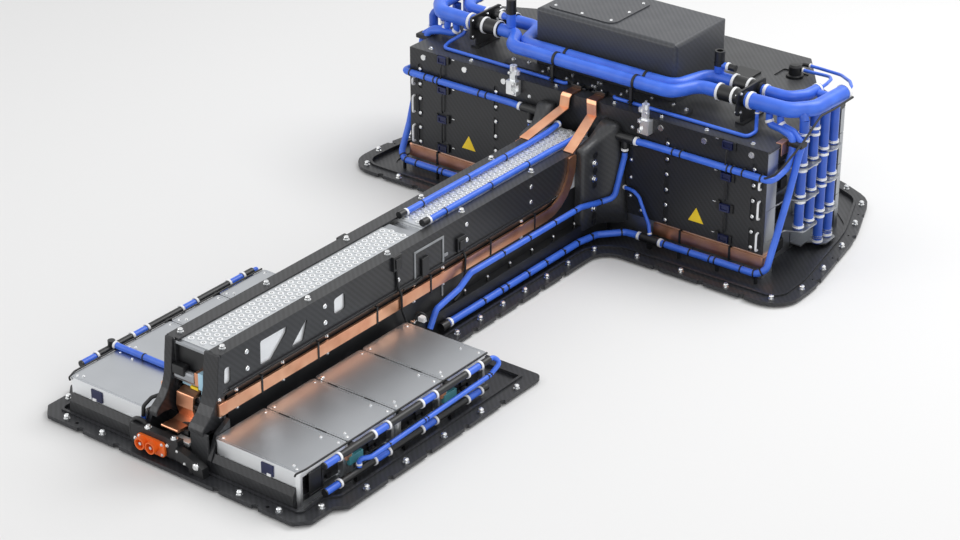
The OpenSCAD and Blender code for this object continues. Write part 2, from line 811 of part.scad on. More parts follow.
function layer_low(i) = i == 1 ? rear_floor : layer_1_z + (i - 2) * layer_h;
function layer_high(i) = i == 4 ? stack_top : layer_1_z + (i - 1) * layer_h;

// Plate with a rounded ear round two manifold columns
module ear_plate(y0, y1, z) {
    translate([0, 0, z])
        linear_extrude(ear_t)
            polygon(rounded([
                [body_half_w - 1, y0, 0], [block_half_w, y0, 4], [block_half_w, y0 + (y1 - y0) * 0.3, 10],
                [column_x + 24, y0 + (y1 - y0) * 0.42, 18], [column_x + 24, y1 - 6, 18], [block_half_w, y1 + 12, 10],
                [body_half_w + 5, y1 + 12, 0], [body_half_w + 5, y0 + 100, 0], [body_half_w - 1, y0 + 100, 0]
            ]));
}

module front_stack(i) {
    low = layer_low(i);
    high = layer_high(i);
    color(aluminium)
        union() {
            translate([-body_half_w, block_y, low]) cube([2 * body_half_w, front_row_d, high - low]);
            both_sides() {
                translate([body_half_w - 1, block_y, low]) cube([block_half_w - body_half_w + 1, post_d, high - low - 2]);
                translate([body_half_w - 1, block_y, high - 3]) cube([block_half_w - body_half_w, front_row_d, 3]);
                if (i < 4) ear_plate(block_y + 60, column_y[1] + 18, high - ear_t);
            }
        }
}

module rear_stack(i) {
    low = layer_low(i);
    high = layer_high(i);
    color(aluminium)
        union() {
            translate([0, 0, low])
                linear_extrude(high - low)
                    polygon(rounded(mirrored([
                        [body_half_w, rear_row_y0, 0], [body_half_w, rear_row_y1, 8],
                        [tail_half_w + 108, rear_row_y1 + 54, 8], [tail_half_w, tail_y1, 8]
                    ])));
            both_sides() {
                translate([body_half_w - 1, rear_row_y1 - 26, low])
                    cube([block_half_w - body_half_w + 1, 18, high - low - 2]);
                ear_plate(rear_row_y0 + 1, column_y[3] + 18, low + (i == 1 ? 14 : 4));
            }
        }
}

// Panels over the front face, with upright slots round the studs

slot_x = [284, block_half_w - 37];
stud_z = [for (k = [0:6]) 90 + 44.8 * k];
face_low = 76;

module face_panel() {
    color(carbon)
        difference() {
            translate([play / 2, block_y - face_t, face_low])
                cube([block_half_w - play / 2, face_t - play, block_top - face_low]);
            for (x = slot_x, k = [0:3])
                translate([x - 8, block_y - face_t - 1, stud_z[min(2 * k, 5)] - 13])
                    rotate([90, 0, 0])
                        mirror([0, 0, 1])
                            rounded_box([16, k == 3 ? 30 : 70, face_t + 2], 7);
        }
}

module face_studs() {
    y = block_y - face_t;
    color(steel)
        both_sides() {
            for (x = slot_x, k = [0:5])
                translate([x, block_y, stud_z[k]])
                    rotate([90, 0, 0])
                        rotate_extrude()
                            polygon([[0, 0], [4, 0], [4, 2], [5.5, 2.5], [5.5, 5], [4, 6.5], [0, 7]]);
            for (x = [259, 395, block_half_w - 49])
                translate([x, y, block_top - 21])
                    rotate([90, 0, 0]) cylinder(h = 2.5, r1 = 9, r2 = 8);
        }
}

module sensor_connectors() {
    y = block_y - face_t;
    color("#1c2a5e")
        both_sides()
            for (k = [0:3])
                translate([455, y - 9, layer_1_z - 28 + k * (layer_h - 1)])
                    difference() {
                        cube([30, 9 - play, 20]);
                        translate([4, -1, 4]) cube([22, 4, 12]);
                    }
}

module latch_bars() {
    color("#e6e6e6")
        both_sides()
            for (k = [0:2]) {
                z = layer_1_z - 22 + k * layer_h - (k == 2 ? 6 : 0);
                h = k == 2 ? 20 : 50;
                x = block_half_w - 16;
                hose([
                    [x, block_y - face_t - play, z], [x, block_y - face_t - 10, z],
                    [x, block_y - face_t - 10, z + h], [x, block_y - face_t - play, z + h]
                ], 3, 6, 2);
            }
}

module block_busbars() {
    z = 38;
    h = 34;
    color(copper)
        both_sides()
            translate([0, 0, z])
                linear_extrude(h)
                    polygon(rounded([
                        [250, block_y - 7, 0], [block_half_w + 7, block_y - 7, 9], [block_half_w + 7, block_y + 40, 0],
                        [block_half_w + play, block_y + 40, 0], [block_half_w + play, block_y - play, 0], [250, block_y - play, 0]
                    ]));
}

module top_plate() {
    color(carbon)
        difference() {
            union() {
                translate([0, 0, stack_top])
                    linear_extrude(top_plate_t)
                        polygon(rounded(mirrored([
                            [block_half_w, block_y, 4], [block_half_w, rear_row_y1 - 4, 8],
                            [tail_half_w + 112, rear_row_y1 + 56, 8], [tail_half_w + 4, tail_y1 + 4, 8]
                        ])));
                // Raised ledge in front of the cover
                translate([-300, block_y + 50, block_top - 0.01]) rounded_box([600, 46, 10.01], 8);
            }
            // Sunk corner for the relief valve
            translate([tail_half_w - 20, rear_row_y1 + 44, block_top - 4]) rounded_box([80, 60, 10], 6);
        }
}

module electronics_cover() {
    translate([-cover_half_w, cover_y, block_top])
        color(carbon)
            difference() {
                intersection() {
                    rounded_box([2 * cover_half_w, cover_d, cover_h], 12);
                    translate([0, cover_d + 1, 0])
                        rotate([90, 0, 0])
                            linear_extrude(cover_d + 2)
                                polygon(rounded([
                                    [0, 0, 0], [2 * cover_half_w, 0, 0], [2 * cover_half_w, cover_h, 12], [0, cover_h, 12]
                                ]));
                    rotate([90, 0, 90])
                        linear_extrude(2 * cover_half_w)
                            polygon(rounded([[0, 0, 0], [cover_d, 0, 0], [cover_d, cover_h, 12], [0, cover_h, 12]]));
                }
                translate([cover_wall, cover_wall, -1])
                    rounded_box([2 * (cover_half_w - cover_wall), cover_d - 2 * cover_wall, cover_h - cover_wall + 1], 8);
            }
}

lid_x0 = -210;
lid_w = 224;
lid_y0 = cover_y + 20;
lid_d = 196;
lid_plate_t = 3;
cover_top = block_top + cover_h;
screw_inset = 14;

module cover_lid() {
    color(carbon)
        difference() {
            translate([lid_x0, lid_y0, cover_top]) rounded_box([lid_w, lid_d, lid_plate_t], 26);
            for (p = lid_screw_places) translate([p[0], p[1], cover_top - 1]) cylinder(h = 10, r = 2.4);
        }
}

lid_screw_places = [
    for (x = [0, 0.5, 1], y = [0, 0.5, 1])
        if (x != 0.5 || y != 0.5)
            [
                lid_x0 + screw_inset + (x == 0.5 || y == 0.5 ? 0 : 6) * (1 - 2 * x) + x * (lid_w - 2 * screw_inset),
                lid_y0 + screw_inset + (x == 0.5 || y == 0.5 ? 0 : 6) * (1 - 2 * y) + y * (lid_d - 2 * screw_inset)
            ]
];

module cover_screws() {
    color(steel)
        for (p = lid_screw_places)
            translate([p[0], p[1], cover_top])
                union() {
                    cylinder(h = lid_plate_t + 0.5, r = 2);
                    translate([0, 0, lid_plate_t]) cylinder(h = 2, r1 = 4.5, r2 = 3.5);
                }
}

module control_unit() {
    color("#5d6266")
        translate([-cover_half_w + 30, cover_y + 30, block_top])
            difference() {
                rounded_box([2 * cover_half_w - 60, cover_d - 60, cover_h - 60], 10);
                for (x = [30:36:2 * cover_half_w - 90])
                    translate([x, -1, cover_h - 80]) cube([10, cover_d, 40]);
            }
}

// Pipes over the block

front_pipe_y = cover_y - 66;
rear_pipe_y = cover_y - 27;
bulkhead_x = 434;
front_port_y = block_y + 116;
rear_port_y = block_y + 193;
sleeve_l = 84;
pipe_end_x = bulkhead_x - sleeve_l + 8;
wide_x0 = bulkhead_x + 14;

module main_pipes() {
    color(hose_blue) {
        hose([
            [-pipe_end_x, front_port_y, pipe_z], [-302, front_port_y, pipe_z], [-262, front_pipe_y, pipe_z],
            [262, front_pipe_y, pipe_z], [302, front_port_y, pipe_z], [pipe_end_x, front_port_y, pipe_z]
        ], pipe_r, 40, 4, 12);
        hose([
            [-pipe_end_x, rear_port_y, pipe_z], [-280, rear_port_y, pipe_z], [-248, rear_pipe_y, pipe_z],
            [248, rear_pipe_y, pipe_z], [280, rear_port_y, pipe_z], [pipe_end_x, rear_port_y, pipe_z]
        ], pipe_r, 40, 4, 12);
    }
}

// Wide pipes outside the bulkheads, with a cross link behind the corner
module wide_pipes() {
    color(hose_blue)
        both_sides() {
            hose([
                [wide_x0 + play, front_port_y, pipe_z], [wide_x0 + 20, front_port_y, pipe_z],
                [block_half_w - 17, front_port_y + 4, pipe_z], [block_half_w + 29, front_port_y + 58, pipe_z],
                [block_half_w + 37, block_y + 318, pipe_z]
            ], wide_pipe_r, 50, 4, 12);
            hose([
                [wide_x0 + play, rear_port_y, pipe_z], [block_half_w - 63, rear_port_y, pipe_z],
                [block_half_w - 33, rear_port_y + 40, pipe_z], [block_half_w - 27, block_y + 290, pipe_z]
            ], 16, 40, 4, 12);
            rod([block_half_w - 10.7, block_y + 263, pipe_z], [block_half_w + 11.7, block_y + 263, pipe_z], 11);
        }
}

// Upright coolant socket on a main pipe, with its stem
port_l = 42;

module pipe_port(stem) {
    difference() {
        union() {
            cylinder(h = stem + 1, r = 12);
            translate([0, 0, stem]) {
                cylinder(h = port_l, r = 14);
                translate([0, 0, 8]) cylinder(h = 4, r = 15.5);
            }
        }
        translate([0, 0, stem + 6]) cylinder(h = port_l, r = port_bore_r);
    }
}

module pipe_ports() {
    color(black) {
        translate([311, rear_port_y, pipe_z + pipe_r + play]) pipe_port(18);
        translate([-322, front_port_y, pipe_z + pipe_r + play]) pipe_port(38);
        // Relief valve in the sunk corner of the top plate
        translate([380, rear_row_y1 + 79, block_top - 4 + play])
            rotate_extrude()
                polygon([[0, 0], [24, 0], [24, 6], [18, 8], [18, 30], [14, 36], [0, 37]]);
    }
}

module pipe_bulkheads() {
    color(black)
        both_sides()
            difference() {
                translate([bulkhead_x, front_port_y - 36, block_top])
                    union() {
                        translate([0, 0, 29])
                            rotate([90, 0, 90])
                                rounded_box([rear_port_y - front_port_y + 64, 68, 6], 10);
                        translate([0, 26, 0]) cube([6, rear_port_y - front_port_y + 12, 40]);
                        translate([-10, 20, 0]) cube([26, rear_port_y - front_port_y + 24, 6]);
                    }
                for (y = [front_port_y, rear_port_y])
                    translate([bulkhead_x - 1, y, pipe_z]) rotate([0, 90, 0]) cylinder(h = 10, r = pipe_r + 4);
            }
}

module pipe_sleeves() {
    color(black)
        both_sides() {
            for (y = [front_port_y, rear_port_y])
                translate([pipe_end_x, y, pipe_z])
                    rotate([0, 90, 0]) cylinder(h = bulkhead_x + 14 - pipe_end_x, r = pipe_r + 3.5);
            // Couplings of the face hoses
            rod([118, coupling_y, face_hose_z], [186, coupling_y, face_hose_z], coupling_r);
            rod([156, coupling_y, face_hose_z], [156, coupling_y, face_hose_z - 42], 8);
            // Coupling of the two lower hoses, and the feet under them
            rod([228, foot_hose_y, foot_hose_z], [284, foot_hose_y, foot_hose_z], coupling_r);
            translate([250, foot_hose_y - 6, rear_floor]) cube([12, 12, foot_hose_z - rear_floor]);
            for (x = [350, 470, block_half_w + 1])
                translate([x, foot_hose_y, rear_floor]) cylinder(h = foot_hose_z - hose_r - play - rear_floor, r = 5);
            // Elbows at the front end of the tunnel hoses
            rod([37, rear_cell_y0 - 4, tunnel_hose_z + 1.5], [37, rear_cell_y0 + 18 - play, tunnel_hose_z + 1.5], tunnel_hose_r + 1.5);
        }
}

clamp_t = 2.5;

module hose_clamps() {
    color("#e8e9ea")
        both_sides() {
            for (z = rail_levels, y = rail_breaks, s = [-1, 1])
                if (y > rail_breaks[0] || s > 0) ring([rail_x, y, z], [rail_x, y + 1, z], s * (rail_hose_l / 2 + 4), rail_r, rail_r + clamp_t, 6);
            for (y = [front_port_y, rear_port_y], x = [5, 52])
                ring([pipe_end_x, y, pipe_z], [pipe_end_x + 1, y, pipe_z], x, pipe_r + 3.5, pipe_r + 6, 7);
            ring([wide_x0, front_port_y, pipe_z], [wide_x0 + 1, front_port_y, pipe_z], 12, wide_pipe_r + 0.2, wide_pipe_r + 3, 8);
            ring([wide_x0, rear_port_y, pipe_z], [wide_x0 + 1, rear_port_y, pipe_z], 12, 16.2, 19, 8);
            for (i = [0:1], k = [1:3], s = [-1, 1])
                if (k > 1 || s > 0) ring([column_x, column_y[i], layer_high(k)], [column_x, column_y[i], layer_high(k) + 1],
                    s * 7 + (s < 0 ? -ear_t : 0), column_r, column_r + clamp_t, 7);
            for (i = [2:3], k = [1:4], s = [-1, 1])
                if (k > 1 || s > 0)
                    ring([column_x, column_y[i], ear_z(k)], [column_x, column_y[i], ear_z(k) + 1],
                        s * 7 + (s > 0 ? ear_t : 0), column_r, column_r + clamp_t, 7);
        }
}

function ear_z(k) = layer_low(k) + (k == 1 ? 14 : 4);

// Upright hose pieces between the ear plates of the layers
module manifold_columns() {
    top = pipe_z - wide_pipe_r - 1;
    color(hose_blue)
        both_sides() {
            for (i = [0:1], k = [1:3])
                translate([column_x, column_y[i], layer_high(k)])
                    cylinder(h = (k == 3 ? top : layer_high(k + 1) - ear_t) - layer_high(k), r = column_r);
            for (i = [2:3], k = [1:4])
                translate([column_x, column_y[i], ear_z(k) + ear_t])
                    cylinder(h = (k == 4 ? top : ear_z(k + 1)) - ear_z(k) - ear_t, r = column_r);
        }
}

face_hose_y = block_y - face_t - hose_r - play - 0.1;
face_hose_z = 300;
coupling_r = 12;
coupling_y = block_y - face_t - coupling_r - play - 0.2;
foot_hose_y = block_y - 32;
foot_hose_z = 34;
corner_x = block_half_w + 15;
spine_hose_x = base_half_w + hose_r + play + 0.1;
branch_r = 7;
branch_x = base_half_w + branch_r + play + 0.1;

module block_hoses() {
    color(hose_blue)
        both_sides() {
            // From under the wide pipe down round the corner and along the face
            hose([
                [block_half_w - 73, front_port_y + 2, pipe_z - wide_pipe_r - play],
                [block_half_w - 73, front_port_y + 2, block_top + 18],
                [block_half_w - 29, front_port_y - 12, block_top + 20], [corner_x, front_port_y - 22, block_top + 12],
                [corner_x, front_port_y - 24, 345], [corner_x, front_port_y - 44, 306], [corner_x, block_y + 20, face_hose_z - 2],
                [corner_x, face_hose_y, face_hose_z]
            ], hose_r, 22);
            hose([
                [corner_x, face_hose_y, face_hose_z], [block_half_w - 29, face_hose_y, face_hose_z],
                [218, face_hose_y, face_hose_z],
                [202, coupling_y, face_hose_z], [186 + play, coupling_y, face_hose_z]
            ], hose_r, 22);
            // Down the corner and along the foot of the block
            hose([
                [block_half_w - 41, front_port_y + 4, pipe_z - wide_pipe_r - play - 0.5],
                [block_half_w - 39, front_port_y + 2, block_top + 24],
                [block_half_w + 3, front_port_y - 2, block_top + 18],
                [corner_x + 22, front_port_y - 12, block_top - 6],
                [corner_x + 20, front_port_y - 22, 338], [corner_x + 14, block_y + 66, 240], [corner_x + 9, block_y + 20, 124],
                [corner_x + 8, foot_hose_y + 14, 48], [block_half_w + 1, foot_hose_y, foot_hose_z],
                [284 + play, foot_hose_y, foot_hose_z]
            ], hose_r, 24);
            // Along the side of the spine
            hose([
                [228 - play, foot_hose_y, foot_hose_z], [206, foot_hose_y, foot_hose_z], [178, foot_hose_y - 4, foot_hose_z], [126, panel_end_y + 56, foot_hose_z],
                [spine_hose_x, panel_end_y - 10, foot_hose_z], [spine_hose_x, front_tray_end + 42, foot_hose_z]
            ], hose_r, 50);
            // From the face coupling down and along the side of the tunnel
            hose([
                [156, coupling_y, face_hose_z - 42 - play], [156, coupling_y, face_hose_z - 60],
                [158, block_y - 22, 196], [150, panel_end_y + 94, 164],
                [116, panel_end_y + 8, 138], [branch_x + 2, front_tray_end + 139, 138], [branch_x + 2, front_tray_end + 90, 112],
                [branch_x, front_tray_end, 92], [branch_x, front_tray_end - 26, 48]
            ], branch_r, 26);
            // Thin hose along the front edge of the top
            hose([
                [78, block_y + 44, block_top + thin_hose_r + play], [84, block_y + 38, block_top + thin_hose_r + play],
                [500, block_y + 38, block_top + thin_hose_r + play], [506, block_y + 70, block_top + 10],
                [482, front_port_y - 4, block_top + 30], [480, front_port_y, pipe_z - wide_pipe_r - play]
            ], thin_hose_r, 16);
        }
}

// Carbon cowls where the tunnel meets the block
module cowls() {
    color(carbon)
        both_sides()
            intersection() {
                translate([0, 0, base_ledge_z])
                    linear_extrude(230)
                        polygon(rounded([
                            [base_half_w - 20, panel_end_y + 12, 6], [base_half_w + 4, panel_end_y + 20, 16], [base_half_w + 6, block_y - 70, 20],
                            [136, block_y - 44, 20], [138, block_y - 28, 4], [base_half_w - 20, block_y - 28, 0]
                        ]));
                cross_plate(rounded([
                    [80, 0, 0], [200, 0, 0], [200, 200, 20], [150, tunnel_top + 6, 30], [80, tunnel_top + 10, 0]
                ]), 300, 300);
            }
}

module cast_brackets() {
    color("#c6c8ca")
        both_sides()
            translate([200, block_y - face_t - 22, 330])
                difference() {
                    union() {
                        cube([34, 22, 40]);
                        translate([8, 6, 39]) cube([18, 10, 34]);
                        translate([4, 11, 60]) cylinder(h = 10, r = 8);
                        translate([17, 11, 70]) cylinder(h = 14, r = 10);
                    }
                    translate([-1, -1, 12]) cube([18, 12, 18]);
                    translate([17, 11, 60]) cylinder(h = 30, r = 4);
                }
}

base_tray();
tray_bolts();
front_guard();
tunnel_base();
mirror([1, 0, 0]) front_module(1);  // front_module_left_1
mirror([1, 0, 0]) front_module(2);  // front_module_left_2
mirror([1, 0, 0]) front_module(3);  // front_module_left_3
mirror([1, 0, 0]) front_module(4);  // front_module_left_4
front_module(1);  // front_module_right_1
front_module(2);  // front_module_right_2
front_module(3);  // front_module_right_3
front_module(4);  // front_module_right_4
module_screws();
module_links();
coolant_rails();
rail_hoses();
return_hoses();
crossover_hoses();
mirror([1, 0, 0]) tunnel_panel();  // tunnel_panel_left
tunnel_panel();  // tunnel_panel_right
tunnel_bolts();
cell_block_front();
cell_block_rear();
tunnel_hoses();
side_busbars();
top_straps();
front_busbar();
hv_connector();
hv_contacts();
hv_bracket();
mouth_insulators();
front_stack(1);  // front_stack_1
front_stack(2);  // front_stack_2
front_stack(3);  // front_stack_3
front_stack(4);  // front_stack_4
rear_stack(1);  // rear_stack_1
rear_stack(2);  // rear_stack_2
rear_stack(3);  // rear_stack_3
rear_stack(4);  // rear_stack_4
mirror([1, 0, 0]) face_panel();  // face_panel_left
face_panel();  // face_panel_right
face_studs();
sensor_connectors();
latch_bars();
block_busbars();
top_plate();
electronics_cover();
cover_lid();
cover_screws();
control_unit();
main_pipes();
wide_pipes();
pipe_ports();
pipe_bulkheads();
pipe_sleeves();
hose_clamps();
manifold_columns();
block_hoses();
cowls();
cast_brackets();
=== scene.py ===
# Looks of the battery pack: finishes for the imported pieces, smooth hoses in place of the
# faceted ones, and the ties, cables, screws and trim that sit on them.
# Places are in millimetres in the pack's own frame: X across, +Y to the rear block, Z up.

import math

import bpy
from mathutils import Matrix, Vector


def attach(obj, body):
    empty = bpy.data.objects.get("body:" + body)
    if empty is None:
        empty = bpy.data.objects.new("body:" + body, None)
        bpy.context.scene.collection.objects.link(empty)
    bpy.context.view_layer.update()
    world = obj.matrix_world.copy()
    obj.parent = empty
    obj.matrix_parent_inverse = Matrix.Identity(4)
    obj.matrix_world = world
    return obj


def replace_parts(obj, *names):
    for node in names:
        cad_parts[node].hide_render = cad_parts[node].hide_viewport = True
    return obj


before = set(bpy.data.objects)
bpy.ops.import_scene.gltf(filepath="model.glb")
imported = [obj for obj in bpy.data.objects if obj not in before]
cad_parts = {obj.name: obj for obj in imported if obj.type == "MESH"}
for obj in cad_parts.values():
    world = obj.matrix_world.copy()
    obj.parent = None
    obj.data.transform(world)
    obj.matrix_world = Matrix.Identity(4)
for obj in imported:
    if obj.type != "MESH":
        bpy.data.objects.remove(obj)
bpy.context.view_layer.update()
scene = bpy.context.scene
mm = 0.001
print("frame loaded:", len(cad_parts), "pieces")

# The camera stands where the photograph was taken
cameraSettings = {
    "place": (3528.7, -4580.3, 3048.9),
    "azimuth": 37.32515,
    "elevation": 27.39527,
    "lens": 93.58,
    "sensor": 36.0,
}


def aimCamera(settings):
    azimuth, elevation = math.radians(settings["azimuth"]), math.radians(settings["elevation"])
    back = Vector((
        math.sin(azimuth) * math.cos(elevation),
        -math.cos(azimuth) * math.cos(elevation),
        math.sin(elevation),
    ))
    right = Vector((math.cos(azimuth), math.sin(azimuth), 0))
    up = back.cross(right)
    data = bpy.data.cameras.new("photoCamera")
    data.sensor_width = settings["sensor"]
    data.lens = settings["lens"]
    data.clip_end = 60
    camera = bpy.data.objects.new("photoCamera", data)
    scene.collection.objects.link(camera)
    turn = Matrix((right, up, back)).transposed().to_4x4()
    camera.matrix_world = Matrix.Translation(Vector(settings["place"]) * mm) @ turn
    scene.camera = camera


aimCamera(cameraSettings)
print("camera placed")


def linearColour(code):
    parts = [int(code[i:i + 2], 16) / 255 for i in (1, 3, 5)]
    return [c / 12.92 if c <= 0.04045 else ((c + 0.055) / 1.055) ** 2.4 for c in parts] + [1.0]


def feed(tree, node, inputs):
    # links sockets, turns hex codes into colours and sets everything else as a value
    for name, value in inputs.items():
        if isinstance(value, bpy.types.NodeSocket):
            tree.links.new(value, node.inputs[name])
        elif isinstance(value, str) and value.startswith("#"):
            node.inputs[name].default_value = linearColour(value)
        else:
            node.inputs[name].default_value = value


def addNode(tree, kind, settings=None, inputs=None):
    node = tree.nodes.new(kind)
    for name, value in (settings or {}).items():
        setattr(node, name, value)
    feed(tree, node, inputs or {})
    return node


def startFinish(name, inputs):
    finish = bpy.data.materials.new(name)
    finish.use_nodes = True
    tree = finish.node_tree
    shader = tree.nodes["Principled BSDF"]
    feed(tree, shader, inputs)
    finish.diffuse_color = linearColour(inputs["Base Color"])
    return finish, tree, shader


# Noise lies mostly between these two values
noiseRange = {"From Min": 0.3, "From Max": 0.7}


def grain(tree, size, detail=3.0, stretch=(1, 1, 1)):
    # noise whose spots are about size millimetres across
    place = addNode(tree, "ShaderNodeTexCoord").outputs["Object"]
    scaled = addNode(tree, "ShaderNodeVectorMath", {"operation": "MULTIPLY"},
                     {0: place, 1: [1 / (size * mm * s) for s in stretch]})
    return addNode(tree, "ShaderNodeTexNoise", None,
                   {"Vector": scaled.outputs[0], "Scale": 1.0, "Detail": detail}).outputs["Fac"]


def weave(tree, thread):
    # 2/2 twill on the two axes that lie in the face: 1 where the warp is on top, which it is for
    # two threads in each repeat of four. The axis that counts as the face's normal is left out,
    # and shift keeps flat faces off the borders of the threads
    normalFrom, shift = 0.72, 400.3
    place = addNode(tree, "ShaderNodeTexCoord").outputs["Object"]
    facing = addNode(tree, "ShaderNodeNewGeometry").outputs["True Normal"]
    size = addNode(tree, "ShaderNodeVectorMath", {"operation": "ABSOLUTE"}, {0: facing})
    raised = addNode(tree, "ShaderNodeVectorMath", {"operation": "ADD"},
                     {0: size.outputs[0], 1: (1 - normalFrom,) * 3})
    across = addNode(tree, "ShaderNodeVectorMath", {"operation": "FLOOR"}, {0: raised.outputs[0]})
    inFace = addNode(tree, "ShaderNodeVectorMath", {"operation": "SUBTRACT"},
                     {0: (1, 1, 1), 1: across.outputs[0]})
    scaled = addNode(tree, "ShaderNodeVectorMath", {"operation": "SCALE"},
                     {0: place, "Scale": 1 / (thread * mm)})
    moved = addNode(tree, "ShaderNodeVectorMath", {"operation": "ADD"}, {0: scaled.outputs[0], 1: (shift,) * 3})
    kept = addNode(tree, "ShaderNodeVectorMath", {"operation": "MULTIPLY"},
                   {0: moved.outputs[0], 1: inFace.outputs[0]})
    cell = addNode(tree, "ShaderNodeVectorMath", {"operation": "FLOOR"}, {0: kept.outputs[0]})
    total = addNode(tree, "ShaderNodeVectorMath", {"operation": "DOT_PRODUCT"},
                    {0: cell.outputs[0], 1: (1, 1, 1)})
    step = addNode(tree, "ShaderNodeMath", {"operation": "FLOORED_MODULO"},
                   {0: total.outputs["Value"], 1: 4.0})
    return addNode(tree, "ShaderNodeMath", {"operation": "LESS_THAN"}, {0: step.outputs[0], 1: 1.5}).outputs[0]


def carbonFinish(name, thread, dark, light, roughness, coat, relief):
    # carbon fibre twill under clear resin: warp and weft mirror the light unlike each other.
    # The thread is drawn at about 4 mm, coarser than the real 2 mm, so that the twill shows
    finish, tree, shader = startFinish(name, {
        "Base Color": dark, "Coat Weight": coat, "Coat Roughness": 0.22, "Specular IOR Level": 0.42,
    })
    over = weave(tree, thread)
    tone = addNode(tree, "ShaderNodeMix", {"data_type": "RGBA"}, {0: over, 6: dark, 7: light})
    cloud = addNode(tree, "ShaderNodeMapRange", None, {
        **noiseRange, "Value": grain(tree, 60), "To Min": roughness, "To Max": roughness + 0.08,
    })
    rough = addNode(tree, "ShaderNodeMath", {"operation": "MULTIPLY_ADD"},
                    {0: over, 1: -0.05, 2: cloud.outputs["Result"]})
    bump = addNode(tree, "ShaderNodeBump", None, {"Height": over, "Strength": relief, "Distance": 0.4 * mm})
    feed(tree, shader, {"Base Color": tone.outputs[2], "Roughness": rough.outputs[0], "Normal": bump.outputs[0]})
    return finish


def surfaceFinish(name, metallic, low, high, roughness, size, stretch=(1, 1, 1), relief=0.04, clouds=45):
    # fine grain or brushed streaks in gloss and relief, over slow changes of tone from low to high
    change = 0.035
    finish, tree, shader = startFinish(name, {"Base Color": high, "Metallic": metallic})
    streaks = grain(tree, size, 4.0, stretch)
    slow = addNode(tree, "ShaderNodeMapRange", None, {**noiseRange, "Value": grain(tree, clouds, 2.0)})
    tone = addNode(tree, "ShaderNodeMix", {"data_type": "RGBA"}, {0: slow.outputs["Result"], 6: low, 7: high})
    rough = addNode(tree, "ShaderNodeMapRange", None, {
        **noiseRange, "Value": streaks, "To Min": roughness - change, "To Max": roughness + change,
    })
    bump = addNode(tree, "ShaderNodeBump", None, {"Height": streaks, "Strength": relief, "Distance": 0.2 * mm})
    feed(tree, shader, {
        "Base Color": tone.outputs[2], "Roughness": rough.outputs["Result"], "Normal": bump.outputs[0],
    })
    return finish


def cellTops():
    # nickel plated cell caps, bright and slightly clouded, over the greyer plate that they sit on
    plateZ, capZ = 276.5 * mm, 281.2 * mm
    finish, tree, shader = startFinish("nickelPlatedCells", {"Base Color": "#e9ebec", "Metallic": 0.5})
    place = addNode(tree, "ShaderNodeTexCoord").outputs["Object"]
    parts = addNode(tree, "ShaderNodeSeparateXYZ", None, {0: place})
    top = addNode(tree, "ShaderNodeMath", {"operation": "GREATER_THAN"}, {0: parts.outputs["Z"], 1: plateZ})
    cap = addNode(tree, "ShaderNodeMath", {"operation": "GREATER_THAN"}, {0: parts.outputs["Z"], 1: capZ})
    plate = addNode(tree, "ShaderNodeMath", {"operation": "SUBTRACT"}, {0: top.outputs[0], 1: cap.outputs[0]})
    body = addNode(tree, "ShaderNodeMix", {"data_type": "RGBA"}, {0: grain(tree, 90), 6: "#eceef0", 7: "#f6f7f8"})
    tone = addNode(tree, "ShaderNodeMix", {"data_type": "RGBA"},
                   {0: plate.outputs[0], 6: body.outputs[2], 7: "#c6c9cc"})
    rough = addNode(tree, "ShaderNodeMapRange", None, {"Value": plate.outputs[0], "To Min": 0.3, "To Max": 0.45})
    bump = addNode(tree, "ShaderNodeBump", None,
                   {"Height": grain(tree, 3), "Strength": 0.05, "Distance": 0.2 * mm})
    feed(tree, shader, {
        "Base Color": tone.outputs[2], "Roughness": rough.outputs["Result"], "Normal": bump.outputs[0],
    })
    return finish


